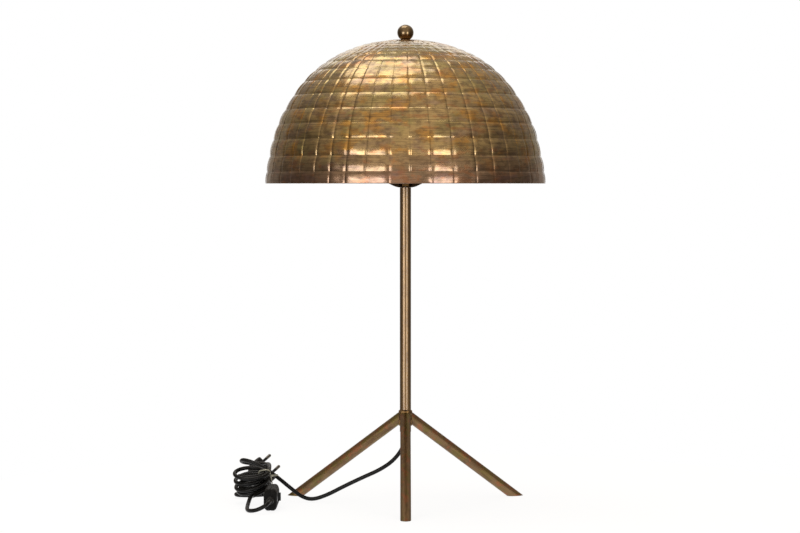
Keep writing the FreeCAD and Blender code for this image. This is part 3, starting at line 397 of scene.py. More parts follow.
def shadeLattice(shape):
    # flat cells between the creases, ring on ring of points from the rim to the hole for the stud
    angles = seamAngles(shape)
    rows = [(shape["radius"] * r, shape["rim"] + shape["height"] * h)
            for h, r in zip(shape["rowHeightShares"], shape["rowRadiusShares"])]
    fullTall = math.dist(*rows[shape["fullRow"]:shape["fullRow"] + 2])
    places, outward, sideways, facts = [], [], [], []

    def addRing(low, high, up, row):
        tall = math.dist(low, high)
        radius = low[0] + (high[0] - low[0]) * up
        height = low[1] + (high[1] - low[1]) * up
        for cell, angle in enumerate(angles):
            following = angles[(cell + 1) % len(angles)]
            ends = [Vector((radius * math.sin(math.radians(a)), -radius * math.cos(math.radians(a)), height))
                    for a in (angle, following)]
            middle = math.radians(angle + ((following - angle) % 360) / 2)
            normal = Vector(((high[1] - low[1]) * math.sin(middle), -(high[1] - low[1]) * math.cos(middle),
                             low[0] - high[0])).normalized()
            for across in shape["acrossSteps"]:
                places.append(ends[0].lerp(ends[1], across) * mm)
                outward.append(normal)
                sideways.append((ends[1] - ends[0]).normalized())
                facts.append((across, up, (ends[1] - ends[0]).length * mm, tall * mm,
                              min(1, tall / fullTall) ** shape["crownFade"],
                              row * shape["numbersPerRow"] + cell))

    for row in range(len(rows) - 1):
        steps = shape["tallSteps"] if row < shape["shortRow"] else shape["shortSteps"]
        for up in steps:
            addRing(rows[row], rows[row + 1], up, row)
    top = shape["rim"] + shape["height"]
    edge = rows[-1]
    crown = [edge, (edge[0] - shape["wall"], top), *[(r, top) for r in shape["crownRings"]]]
    for low, high in zip(crown, crown[1:]):
        addRing(low, high, 0, len(rows))
    addRing(crown[-2], crown[-1], 1, len(rows))
    around = len(angles) * len(shape["acrossSteps"])
    mesh = bpy.data.meshes.new("shadeLattice")
    mesh.from_pydata(places, [], ringFaces(len(places) // around, around))
    for name, vectors in zip(cellWays, (outward, sideways)):
        layer = mesh.attributes.new(name, "FLOAT_VECTOR", "POINT")
        layer.data.foreach_set("vector", [c for v in vectors for c in v])
    for name, values in zip(cellFacts, zip(*facts)):
        layer = mesh.attributes.new(name, "FLOAT", "POINT")
        layer.data.foreach_set("value", values)
    return mesh


def beatenCells(material, sizes):
    # every cell crowned and leaned by its own amount, sunk along seams and rows, then dented and swayed
    tree, identifiers, given = startTree("beatenCells", sizes)
    read = {}
    for kind, names in (("FLOAT", cellFacts), ("FLOAT_VECTOR", cellWays)):
        for name in names:
            read[name] = addNode(tree, "GeometryNodeInputNamedAttribute", {"Name": name}, data_type=kind)
    place = addNode(tree, "GeometryNodeInputPosition")
    crown, crease = {}, {}
    for way, span in (("across", "cellWidth"), ("up", "rowTall")):
        arch = addNode(tree, "ShaderNodeMath", {0: read[way], 1: math.pi}, operation="MULTIPLY")
        crown[way] = addNode(tree, "ShaderNodeMath", {0: arch}, operation="SINE")
        other = addNode(tree, "ShaderNodeMath", {0: 1.0, 1: read[way]}, operation="SUBTRACT")
        least = addNode(tree, "ShaderNodeMath", {0: read[way], 1: other}, operation="MINIMUM")
        away = addNode(tree, "ShaderNodeMath", {0: least, 1: read[span]}, operation="MULTIPLY")
        crease[way] = addNode(tree, "ShaderNodeMapRange", {
            "Value": away, "From Max": given["creaseWidth"], "To Min": 1.0, "To Max": 0.0},
            interpolation_type="SMOOTHSTEP")
    chance = {}
    for number, name in enumerate(("force", "lean", "tone")):
        seed = addNode(tree, "ShaderNodeMath", {0: given["seed"], 1: number}, operation="ADD")
        chance[name] = addNode(tree, "FunctionNodeRandomValue", {
            "ID": read["cellNumber"], "Seed": seed}, data_type="FLOAT").outputs[1]
    swell = addNode(tree, "ShaderNodeMapRange", {
        "Value": chance["force"], "To Min": given["bulgeLeast"], "To Max": given["bulgeMost"]})
    wave = addNode(tree, "ShaderNodeMath", {0: read["across"], 1: 2 * math.pi}, operation="MULTIPLY")
    wave = addNode(tree, "ShaderNodeMath", {0: wave}, operation="SINE")
    leaning = addNode(tree, "ShaderNodeMath", {0: chance["lean"], 1: 0.5}, operation="SUBTRACT")
    noises = {}
    for name, size in (("dent", "dentSize"), ("sway", "swaySize")):
        density = addNode(tree, "ShaderNodeMath", {0: 1.0, 1: given[size]}, operation="DIVIDE")
        noises[name] = addNode(tree, "ShaderNodeTexNoise", {
            "Vector": place, "Scale": density, "Detail": 1.0})
    # the lift of a point is the sum of these products
    terms = [
        (swell, crown["up"], read["rowShare"]),
        (given["acrossBulge"], crown["across"]),
        (given["lean"], leaning, wave, crown["up"]),
        (given["seamLift"], crease["across"], read["rowShare"]),
        (given["rowLift"], crease["up"], read["rowShare"]),
        (given["dent"], noises["dent"]),
        (-1.0, given["dent"]),
    ]
    lift = 0.0
    for product, *factors in terms:
        for factor in factors:
            product = addNode(tree, "ShaderNodeMath", {0: product, 1: factor}, operation="MULTIPLY")
        lift = addNode(tree, "ShaderNodeMath", {0: lift, 1: product}, operation="ADD")
    swing = addNode(tree, "ShaderNodeMath", {0: noises["sway"], 1: 0.5}, operation="SUBTRACT")
    swing = addNode(tree, "ShaderNodeMath", {0: swing, 1: given["sway"]}, operation="MULTIPLY")
    moves = [addNode(tree, "ShaderNodeVectorMath", {0: read[way], "Scale": amount}, operation="SCALE")
             for way, amount in zip(cellWays, (lift, swing))]
    offset = addNode(tree, "ShaderNodeVectorMath", dict(enumerate(moves)), operation="ADD")
    kept = addNode(tree, "GeometryNodeSetPosition", {"Geometry": given["Geometry"], "Offset": offset})
    # how far into a seam or row each point lies, kept for the material to darken: partly dirt, partly painted
    # shade
    creaseDirtAndShade = addNode(tree, "ShaderNodeMath", {0: crease["across"], 1: crease["up"]}, operation="MAXIMUM")
    creaseDirtAndShade = addNode(tree, "ShaderNodeMath", {0: creaseDirtAndShade, 1: read["rowShare"]}, operation="MULTIPLY")
    for name, value in (("crease", creaseDirtAndShade), ("cellTone", chance["tone"])):
        kept = addNode(tree, "GeometryNodeStoreNamedAttribute", {
            "Geometry": kept, "Name": name, "Value": value}, data_type="FLOAT", domain="POINT")
    endTree(tree, kept, material)
    return tree, identifiers


# aged brass sheet: metal under a thin uneven oxide, so tan, orange, olive and plum patches shift over
# brush lines (drawn coarser than real ones so that they show) and the creases are darker, partly dirt and
# partly painted shade
agedSheet = {
    "noises": {
        "brush": (1.3, (26, 26, 1), 2),
        "mottle": (5, (2, 2, 1), 4),
        "tarnish": (48, (1, 1, 1), 2),
        "patch": (34, (1, 1, 0.7), 4),
        "stain": (22, (1.6, 1.6, 0.6), 3),
        "rust": (11, (2, 2, 0.8), 4),
    },
    "attributes": ("crease", "cellTone"),
    "colour": "#bc9f6a",
    "layers": [
        ("tarnish", 0.46, 0.66, 0.55, "#988f52"),
        ("patch", 0.5, 0.64, 0.75, "#c88e32"),
        ("stain", 0.5, 0.66, 0.5, "#8c716a"),
        ("cellTone", 0.3, 1.0, 0.3, "#7a6243"),
        ("height", 450 * mm, 402 * mm, 0.6, "#7c5860"),
        ("mottle", 0.42, 0.68, 0.6, "#604830"),
        ("brush", 0.4, 0.72, 0.55, "#503c26"),
        ("rust", 0.56, 0.66, 0.35, "#a86634"),
        # darker in the creases: partly dirt, partly painted shade
        ("crease", 0.6, 1.0, 0.28, "#3a2f23"),
    ],
    "gloss": ("mottle", 0.3, 0.75, 0.16, 0.32),
    "bumps": [("brush", 0.035), ("mottle", 0.1)],
    "shader": {"Metallic": 1, "Coat Weight": 0.28, "Coat IOR": 1.9, "Coat Roughness": 0.12},
}


def makeShade(shape):
    material = makeMaterial("agedBrassSheet", agedSheet)
    item = addObject("shadeDome", shadeLattice(shape))
    sizes = {name: value * mm for name, value in shape["sizes"].items()}
    sizes["seed"] = shape["seed"]
    tree, identifiers = beatenCells(material, sizes)
    runTree(item, tree, identifiers, sizes)
    wall = item.modifiers.new("wall", "SOLIDIFY")
    wall.thickness = shape["wall"] * mm
    wall.offset = -1  # inwards
    plainMesh(item)
    smooth(item.data)
    dress(item, "shade", "embossed_brass", "shade")
    return item


shadeDome = makeShade(shadeShape)
print("shade made: %d faces" % len(shadeDome.data.polygons))


# drawn brass tube, aged: glossy brown patina over yellow metal, with long scratches along the tube
# (drawn coarse enough to show)
drawnTube = {
    "noises": {"streak": (1.1, (1, 1, 45), 3), "blotch": (8, (1, 1, 2.5), 4), "spot": (2.6, (1, 1, 1.5), 3)},
    "colour": "#886b44",
    "layers": [
        ("blotch", 0.42, 0.7, 0.6, "#6c5034"),
        ("streak", 0.45, 0.75, 0.5, "#544028"),
        ("spot", 0.6, 0.75, 0.5, "#463624"),
    ],
    "gloss": ("blotch", 0.3, 0.7, 0.3, 0.38),
    "bumps": [("streak", 0.02), ("spot", 0.008)],
    "shader": {"Metallic": 1, "Coat Weight": 0.6, "Coat IOR": 1.8, "Coat Roughness": 0.1},
}
# the same tube on the legs, handled less: duller, with olive and red brown patches along it
legTube = {
    **drawnTube,
    "noises": {**drawnTube["noises"], "olive": (11, (1, 1, 1.6), 4), "spot": (9, (1, 1, 1.4), 4)},
    "colour": "#826644",
    "layers": [
        ("blotch", 0.42, 0.66, 0.7, "#64482c"),
        ("olive", 0.5, 0.6, 0.65, "#77692c"),
        ("spot", 0.52, 0.62, 0.7, "#9a5c38"),
        ("streak", 0.45, 0.75, 0.5, "#50402a"),
    ],
    "gloss": ("blotch", 0.3, 0.7, 0.4, 0.56),
    "shader": {"Metallic": 1, "Coat Weight": 0.25, "Coat IOR": 1.8, "Coat Roughness": 0.35},
}
# the legs' directions, from the joint down to the foot
legLines = {"front_leg": (0, -0.8218, -0.5697), "left_leg": (-0.7117, 0.4109, -0.5697),
            "right_leg": (0.7117, 0.4109, -0.5697)}
coat(makeMaterial("drawnBrassStem", drawnTube), "stem_tube")
for name, line in legLines.items():
    coat(makeMaterial("drawnBrass" + name.title().replace("_", ""), legTube, line), name)

# brazing: poured yellow metal with a rippled skin, brighter than the tubes, browned by the flame
brazedBead = {
    "noises": {"ripple": (2.4, (1, 1, 1), 2), "scale": (5, (1, 1, 1), 4)},
    "colour": "#8c6e46",
    "layers": [("scale", 0.42, 0.66, 0.75, "#56402a"), ("ripple", 0.55, 0.75, 0.5, "#3c2c1e")],
    "gloss": ("scale", 0.3, 0.7, 0.1, 0.3),
    "bumps": [("ripple", 0.7), ("scale", 0.2)],
    "shader": {"Metallic": 1},
}
coat(makeMaterial("brazedBead", brazedBead), "brazing")

# turned brass ball: rings from the lathe (drawn coarser than real ones) under dark brown lacquer, with
# small clear highlights
turnedBall = {
    "noises": {"ring": (0.5, (30, 30, 1), 2), "cloud": (6, (1, 1, 1), 3)},
    "colour": "#786240",
    "layers": [("cloud", 0.4, 0.7, 0.6, "#563e26"), ("ring", 0.5, 0.75, 0.3, "#38281c")],
    "gloss": ("cloud", 0.3, 0.7, 0.1, 0.18),
    "bumps": [("ring", 0.008)],
    "shader": {"Metallic": 1, "Coat Weight": 0.7, "Coat IOR": 1.5, "Coat Roughness": 0.05},
}
# the ball nut: flared seat on the shade, ball, and a blind bore for the stud
ballShape = {
    "seat": 579.7,
    "seatRadius": 5.4,
    "fillet": 0.4,
    "ball": 10.25,
    "rise": 9.2,
    "bore": 3.4,
    "boreDepth": 9.2,
    "drillPoint": 1.6,
    "arcPoints": 26,
    "sides": 56,
    "sharpFrom": 35,
}


def makeBall(shape):
    # rings of points about the lamp's axis, closed by a fan at the bore's roof and one at the top
    centre = shape["seat"] + shape["rise"]
    start = -math.acos(shape["seatRadius"] / shape["ball"])
    roof = shape["seat"] + shape["boreDepth"]
    rings = [(shape["bore"], roof), (shape["bore"], shape["seat"]), (shape["seatRadius"], shape["seat"]),
             (shape["seatRadius"], shape["seat"] + shape["fillet"] / 2)]
    for i in range(shape["arcPoints"]):
        angle = start + (math.pi / 2 - start) * i / shape["arcPoints"]
        rings.append((shape["ball"] * math.cos(angle), centre + shape["ball"] * math.sin(angle)))
    around = shape["sides"]
    turns = [2 * math.pi * i / around for i in range(around)]
    places = [(r * math.cos(turn), r * math.sin(turn), height) for r, height in rings for turn in turns]
    faces = ringFaces(len(rings), around)
    inner, outer = len(places), len(places) + 1
    faces += [(inner, (i + 1) % around, i) for i in range(around)]
    faces += [(inner - around + i, inner - around + (i + 1) % around, outer) for i in range(around)]
    places += [(0, 0, roof + shape["drillPoint"]), (0, 0, centre + shape["ball"])]
    mesh = bpy.data.meshes.new("ballNut")
    mesh.from_pydata([Vector(place) * mm for place in places], [], faces)
    piece = addObject("ballNut", mesh, makeMaterial("turnedBrassBall", turnedBall))
    smooth(piece.data, shape["sharpFrom"])
    dress(piece, "finial", "polished_brass", "finial")


makeBall(ballShape)

# bent and stamped brass fittings, dulled to brown with faint draw lines (drawn coarse enough to show)
bentBrass = {
    "noises": {"line": (0.9, (12, 12, 1), 2), "cloud": (7, (1, 1, 1), 4)},
    "colour": "#7c603a",
    "layers": [("cloud", 0.42, 0.68, 0.6, "#54402a"), ("line", 0.5, 0.75, 0.35, "#3e2e1c")],
    "gloss": ("cloud", 0.3, 0.7, 0.3, 0.46),
    "bumps": [("line", 0.02)],
    "shader": {"Metallic": 1},
}
coat(makeMaterial("bentBrassFitting", bentBrass), "harp", "harp_sleeve_left", "harp_sleeve_right",
     "harp_stud", "lock_nut", "seat_washer")

# stamped brass strip, darkened: almost black, partly dark metal and partly painted shade for the shadow it
# sits in, with a painted brown sheen along the draw lines
brassWithPaintedShade = {
    **bentBrass,
    # near black is partly dark metal and partly painted shade; the lighter draw lines are a painted sheen
    "colour": "#33271b",
    "layers": [("cloud", 0.42, 0.68, 0.6, "#1c150f"), ("line", 0.5, 0.75, 0.35, "#4a3824")],
    "gloss": ("cloud", 0.3, 0.7, 0.36, 0.52),
}
# the harp saddle: a dished strip with its long edges turned up, each half a line from the stem outwards
saddleShape = {
    "line": [(0, 396.9), (7.6, 396.9), (8.6, 396.9), (13, 398), (18, 400.4), (22.5, 402.6), (25.2, 404.6),
             (26, 407), (26, 415)],
    "widths": [6.9, 6.9, 6.9, 6.9, 6.6, 5.6, 2.4, 2, 2],
    "edges": [0.06, 0.06, 3.4, 3, 2.6, 2, 0.5, 0.06, 0.06],
    "wall": 0.8,
    "steps": 5,
    "roundings": 2,
    "sharpFrom": 35,
}


def makeSaddle(shape):
    # a channel section lofted along the line and its mirror image
    stations = []
    count = len(shape["line"])
    for i in range((count - 1) * shape["steps"] + 1):
        at, share = divmod(i, shape["steps"])
        share /= shape["steps"]
        ends = min(at + 1, count - 1)
        place = Vector(shape["line"][at]).lerp(Vector(shape["line"][ends]), share)
        width, edge = [v[at] + (v[ends] - v[at]) * share for v in (shape["widths"], shape["edges"])]
        stations.append((place, width, edge))
    for rounding in range(shape["roundings"]):  # the corners of the line rounded off
        middles = [(a[0] + b[0] * 2 + c[0]) / 4 for a, b, c in zip(stations, stations[1:], stations[2:])]
        stations[1:-1] = [(place, *old[1:]) for place, old in zip(middles, stations[1:-1])]
    stations = [(Vector((-p.x, p.y)), w, e) for p, w, e in reversed(stations[1:])] + stations
    wall = shape["wall"]
    strip = bmesh.new()
    rings = []
    for i, (place, width, edge) in enumerate(stations):
        ahead = (stations[min(i + 1, len(stations) - 1)][0] - stations[max(i - 1, 0)][0]).normalized()
        up = Vector((-ahead.y, ahead.x))
        section = [(-width, -wall), (width, -wall), (width, wall + edge), (width - wall, wall + edge),
                   (width - wall, wall), (wall - width, wall), (wall - width, wall + edge),
                   (-width, wall + edge)]
        rings.append([strip.verts.new(((place.x + up.x * h) * mm, y * mm, (place.y + up.y * h) * mm))
                      for y, h in section])
    for low, high in zip(rings, rings[1:]):
        for k in range(len(low)):
            following = (k + 1) % len(low)
            strip.faces.new((low[k], low[following], high[following], high[k]))
    strip.faces.new(rings[0])
    strip.faces.new(list(reversed(rings[-1])))
    bmesh.ops.recalc_face_normals(strip, faces=strip.faces)
    piece = addObject("saddleStrip", meshOf("saddleStrip", strip),
                      makeMaterial("brassStripPaintedShade", brassWithPaintedShade))
    smooth(piece.data, shape["sharpFrom"])
    dress(piece, "stand", "antique_brass", "harp_saddle")


makeSaddle(saddleShape)
print("finial and harp saddle made")

# zinc plate on steel: pale blue grey with a fine crystal mottle
zincPlate = {
    "noises": {"crystal": (0.8, (1, 1, 1), 3), "dull": (5, (1, 1, 1), 3)},
    "colour": "#b4b6b8",
    "layers": [("crystal", 0.45, 0.7, 0.4, "#8f9294"), ("dull", 0.5, 0.7, 0.35, "#7a7872")],
    "gloss": ("dull", 0.3, 0.7, 0.26, 0.42),
    "bumps": [("crystal", 0.01)],
    "shader": {"Metallic": 1},
}
coat(makeMaterial("zincPlatedSteel", zincPlate), "stem_insert", "threaded_nipple", "terminal_screws",
     "switch_screws")

# pressed phenolic resin: deep brown black with a polish that dulls in patches
pressedResin = {
    "noises": {"flow": (9, (1, 1, 2), 4), "grain": (0.7, (1, 1, 1), 2)},
    "colour": "#100d0c",
    "layers": [("flow", 0.45, 0.7, 0.6, "#1e1613")],
    "gloss": ("flow", 0.3, 0.7, 0.14, 0.3),
    "bumps": [("grain", 0.006)],
    "shader": {"IOR": 1.6},
}
coat(makeMaterial("pressedPhenolic", pressedResin), "holder_cap", "holder_shell")

# glazed steatite: warm white with tiny grey specks under a wet gloss
glazedSteatite = {
    "noises": {"speck": (0.9, (1, 1, 1), 3), "pool": (6, (1, 1, 1), 2)},
    "colour": "#e4dfd2",
    "layers": [("pool", 0.4, 0.7, 0.4, "#d2cbba"), ("speck", 0.66, 0.76, 0.6, "#9a948a")],
    "gloss": ("pool", 0.3, 0.7, 0.1, 0.22),
    "bumps": [("pool", 0.05)],
    "shader": {"IOR": 1.55},
}
coat(makeMaterial("glazedSteatite", glazedSteatite), "holder_core")

# sprung contact brass: clean yellow with fine roll lines
rolledContact = {
    "noises": {"roll": (0.4, (20, 1, 1), 2), "tarnish": (5, (1, 1, 1), 3)},
    "colour": "#cda85e",
    "layers": [("tarnish", 0.48, 0.72, 0.5, "#9a7a42"), ("roll", 0.5, 0.75, 0.25, "#8a6c3a")],
    "gloss": ("tarnish", 0.3, 0.7, 0.2, 0.36),
    "bumps": [("roll", 0.01)],
    "shader": {"Metallic": 1},
}
coat(makeMaterial("rolledContactBrass", rolledContact), "thread_sleeve", "centre_contact", "bulb_tip")

# spun aluminium: rings round the cap and a soft white sheen
spunAluminium = {
    "noises": {"ring": (0.5, (30, 30, 1), 2), "haze": (6, (1, 1, 1), 3)},
    "colour": "#cfcfcd",
    "layers": [("haze", 0.45, 0.7, 0.35, "#a8a7a2"), ("ring", 0.5, 0.75, 0.2, "#8f8f8c")],
    "gloss": ("haze", 0.3, 0.7, 0.24, 0.36),
    "bumps": [("ring", 0.01)],
    "shader": {"Metallic": 1},
}
coat(makeMaterial("spunAluminium", spunAluminium), "bulb_cap")

# blown glass: clear, with slow waves that bend what shows through it and a trace of dust
blownGlass = {
    "noises": {"wave": (14, (1, 1, 2), 1), "dust": (3, (1, 1, 1), 3)},
    "colour": "#ffffff",
    "layers": [("dust", 0.62, 0.8, 0.15, "#e8e6de")],
    "gloss": ("dust", 0.6, 0.8, 0.0, 0.08),
    "bumps": [("wave", 0.06)],
    "shader": {"IOR": 1.5, "Transmission Weight": 1},
}
coat(makeMaterial("blownGlass", blownGlass), "bulb_glass", "bulb_stem")

# phosphor on the light sticks: chalky yellow with a fine grain
phosphorCoat = {
    "noises": {"grain": (0.4, (1, 1, 1), 2), "band": (3, (1, 1, 1), 2)},
    "colour": "#e6b84a",
    "layers": [("band", 0.4, 0.7, 0.5, "#d29c34"), ("grain", 0.5, 0.75, 0.3, "#f0d084")],
    "gloss": ("grain", 0.3, 0.7, 0.6, 0.8),
    "bumps": [("grain", 0.03)],
    "shader": {"IOR": 1.5},
}
coat(makeMaterial("phosphorCoat", phosphorCoat), "filaments")

# moulded rubber: black with a grey bloom and no clear highlight
mouldedRubber = {
    "noises": {"bloom": (4, (1, 1, 1), 4), "pit": (0.5, (1, 1, 1), 2)},
    "colour": "#0e0e0e",
    "layers": [("bloom", 0.48, 0.72, 0.6, "#1b1b1b")],
    "gloss": ("bloom", 0.3, 0.7, 0.5, 0.68),
    "bumps": [("pit", 0.02)],
    "shader": {"IOR": 1.5, "Specular IOR Level": 0.35},
}
rubberMaterial = makeMaterial("mouldedRubber", mouldedRubber)
coat(rubberMaterial, "cord_bushing")

# moulded thermoplastic: spark-textured black on the plug, a smoother and glossier black on the switch
sparkMould = {
    "noises": {"spark": (0.45, (1, 1, 1), 2), "rub": (7, (1, 1, 1), 4)},
    "colour": "#0c0c0d",
    "layers": [("rub", 0.5, 0.74, 0.6, "#1a1a1b")],
    "gloss": ("rub", 0.3, 0.7, 0.4, 0.56),
    "bumps": [("spark", 0.03)],
    "shader": {"IOR": 1.5, "Specular IOR Level": 0.35},
}
glossMould = {
    **sparkMould,
    "colour": "#060606",
    "gloss": ("rub", 0.3, 0.7, 0.5, 0.66),
    "bumps": [("spark", 0.008)],
    "shader": {"IOR": 1.5, "Specular IOR Level": 0.13},
}
sparkMaterial = makeMaterial("sparkTexturedPlug", sparkMould)
glossMaterial = makeMaterial("glossMouldedSwitch", glossMould)
coat(sparkMaterial, "plug_pin_sleeves")
coat(glossMaterial, "switch_rocker")

# the switch's case narrows towards its edges and ends: half sizes, roundness and the length of its noses
switchCase = {
    "centre": (-165.5, -48, 13.7),
    "half": (8.6, 32.4, 13.9),
    "power": 3.2,
    "nose": 8,
    "drawnIn": 0.3,
}
# mouldings: the constructed solids with their edges rounded over as a mould leaves them
mouldings = {
    "plugMoulding": {"node": "plug_body", "slot": "plug_plastic", "material": sparkMaterial,
                     "voxel": 0.6, "rounds": 45},
    "switchBack": {"node": "switch_base", "slot": "switch_plastic", "material": glossMaterial,
                   "voxel": 0.5, "rounds": 3, "case": switchCase},
    "switchFront": {"node": "switch_cover", "slot": "switch_plastic", "material": glossMaterial,
                    "voxel": 0.5, "rounds": 3, "case": switchCase},
}
weldDistance = 0.001 * mm  # a CAD node's mesh is loose triangles


def narrowCase(mesh, case):
    for vertex in mesh.vertices:
        away = vertex.co / mm - Vector(case["centre"])
        across, along, tall = [abs(a) / h for a, h in zip(away, case["half"])]
        reach = (across ** case["power"] + tall ** case["power"]) ** (1 / case["power"])
        share = max(0, (abs(away.y) - case["half"][1] + case["nose"]) / case["nose"])
        narrow = 1 - case["drawnIn"] * (1 - math.sqrt(max(0, 1 - min(share, 1) ** 2)))
        narrow /= max(1, reach)
        vertex.co = (Vector(case["centre"]) + Vector((away.x * narrow, away.y, away.z * narrow))) * mm


def makeMoulding(name, look):
    merged = bmesh.new()
    merged.from_mesh(nodes[look["node"]].data)
    bmesh.ops.remove_doubles(merged, verts=merged.verts, dist=weldDistance)
    piece = addObject(name, meshOf(name, merged), look["material"])
    even = piece.modifiers.new("even", "REMESH")
    even.mode = "VOXEL"
    even.voxel_size = look["voxel"] * mm
    rounded = piece.modifiers.new("rounded", "SMOOTH")
    rounded.iterations = look["rounds"]
    plainMesh(piece)
    if "case" in look:
        narrowCase(piece.data, look["case"])
    smooth(piece.data)
    dress(piece, "stand", look["slot"], look["node"])
    return piece


moulded = {name: makeMoulding(name, look) for name, look in mouldings.items()}
print("plug and switch mouldings made")

# nickel on brass pins: warm grey with scratches along them from use
nickelPin = {
    "noises": {"scratch": (0.35, (1, 1, 30), 3), "dull": (3, (1, 1, 1), 3)},
    "colour": "#6e6a64",
    "layers": [("dull", 0.45, 0.7, 0.5, "#45433f"), ("scratch", 0.5, 0.75, 0.4, "#4e4c48")],
    "gloss": ("dull", 0.3, 0.7, 0.22, 0.4),
    "bumps": [("scratch", 0.01)],
    "shader": {"Metallic": 1},
}
coat(makeMaterial("nickelPlatedPin", nickelPin, cordRoute["plugAhead"]), "plug_pins")
print("materials given to the CAD nodes")

# strain reliefs: a soft cone with ribs moulded round it, each rib's radius a share of the cone's there
coneFacets = {
    "around": 28,
    "along": 4,
    "ribSection": 8,
    "sharpFrom": 50,
}
reliefShapes = {
    "switchRelief": {
        "starts": [(-165.5, -80, 13.7), (-165.5, -16, 13.7)],
        "aheads": [(0, -1, 0), (0, 1, 0)],
        "length": 9, "root": 4.1, "end": 3.1, "ribs": 4, "ribShare": 0.26, "replaces": "switch_reliefs",
    },
    "plugRelief": {
        "starts": [(-197.4, 84.83, 18.03)],
        "aheads": [(-0.5617, -0.683, -0.4669)],
        "length": 20, "root": 4.3, "end": 2.9, "ribs": 8, "ribShare": 0.24, "replaces": "plug_relief",
    },
}


def ribbedCone(material, sizes, facets):
    tree, identifiers, given = startTree("ribbedCone", sizes)
    circle = addNode(tree, "GeometryNodeCurvePrimitiveCircle", {
        "Resolution": facets["around"], "Radius": 1.0})
    section = addNode(tree, "GeometryNodeCurvePrimitiveCircle", {
        "Resolution": facets["ribSection"], "Radius": given["ribShare"]})
    rib = addNode(tree, "GeometryNodeCurveToMesh", {"Curve": circle, "Profile Curve": section})
    count = addNode(tree, "ShaderNodeMath", {0: given["ribs"], 1: 1.0}, operation="ADD")
    pitch = addNode(tree, "ShaderNodeMath", {0: given["length"], 1: count}, operation="DIVIDE")
    step = addNode(tree, "ShaderNodeCombineXYZ", {"Z": pitch})
    line = addNode(tree, "GeometryNodeMeshLine", {
        "Count": given["ribs"], "Start Location": step, "Offset": step}, mode="OFFSET")
    place = addNode(tree, "GeometryNodeInputPosition")
    height = addNode(tree, "ShaderNodeSeparateXYZ", {0: place}).outputs["Z"]
    radius = addNode(tree, "ShaderNodeMapRange", {
        "Value": height, "From Max": given["length"], "To Min": given["root"], "To Max": given["end"]})
    rings = addNode(tree, "GeometryNodeInstanceOnPoints", {"Points": line, "Instance": rib, "Scale": radius})
    core = addNode(tree, "GeometryNodeMeshCone", {
        "Vertices": facets["around"], "Side Segments": facets["along"], "Radius Top": given["end"],
        "Radius Bottom": given["root"], "Depth": given["length"]})
    both = addNode(tree, "GeometryNodeJoinGeometry", {0: core})
    tree.links.new(rings.outputs[0], both.inputs[0])
    endTree(tree, both, material)
    return tree, identifiers


def makeRelief(name, shape, facets):
    sizes = {size: shape[size] * mm for size in ("length", "root", "end")}
    sizes.update(ribShare=shape["ribShare"], ribs=shape["ribs"])
    whole = bmesh.new()
    for start, ahead in zip(shape["starts"], shape["aheads"]):
        item = addObject(name, bpy.data.meshes.new(name))
        tree, identifiers = ribbedCone(rubberMaterial, sizes, facets)
        runTree(item, tree, identifiers, sizes)
        plainMesh(item)
        turn = Vector((0, 0, 1)).rotation_difference(Vector(ahead)).to_matrix().to_4x4()
        item.data.transform(Matrix.Translation(Vector(start) * mm) @ turn)
        whole.from_mesh(item.data)
        bpy.data.objects.remove(item)
    piece = addObject(name, meshOf(name, whole), rubberMaterial)
    smooth(piece.data, facets["sharpFrom"])
    dress(piece, "stand", "bushing_rubber", shape["replaces"])
    return piece


reliefs = {name: makeRelief(name, shape, coneFacets) for name, shape in reliefShapes.items()}

# plastic coated wire, extruded: a dull grey skin with pale patches, partly rubbed wear and partly painted
# highlight, and dark in its creases
coatedWire = {
    "noises": {"crease": (2, (1, 1, 1), 3), "wearAndGlint": (5, (1, 1, 1), 3)},
    "colour": "#77776a",
    # the pale layer is partly wear and partly painted highlight
    "layers": [("wearAndGlint", 0.44, 0.6, 0.85, "#c9c7b8"), ("crease", 0.5, 0.75, 0.4, "#2c2b20")],
    "gloss": ("wearAndGlint", 0.3, 0.7, 0.22, 0.4),
    "bumps": [("crease", 0.05)],
    "shader": {"IOR": 1.5},
}
# tie: two turns of that wire drawn tight round the hank, their ends twisted together
tieShape = {
    "right": 3.3,
    "left": -11.9,
    "half": 12.2,
    "squareness": 0.45,
    "start": 0.6,
    "turns": 1.94,
    "points": 24,
    "lead": 1.6,
    "tilt": 9,
    "diameter": 1.3 * mm,
    "roundSteps": 2,
    "lengthSteps": 3,
    "tail": 9,
    "tailSteps": 12,
    "twists": 2.5,
    "twistRadius": 0.7,
}


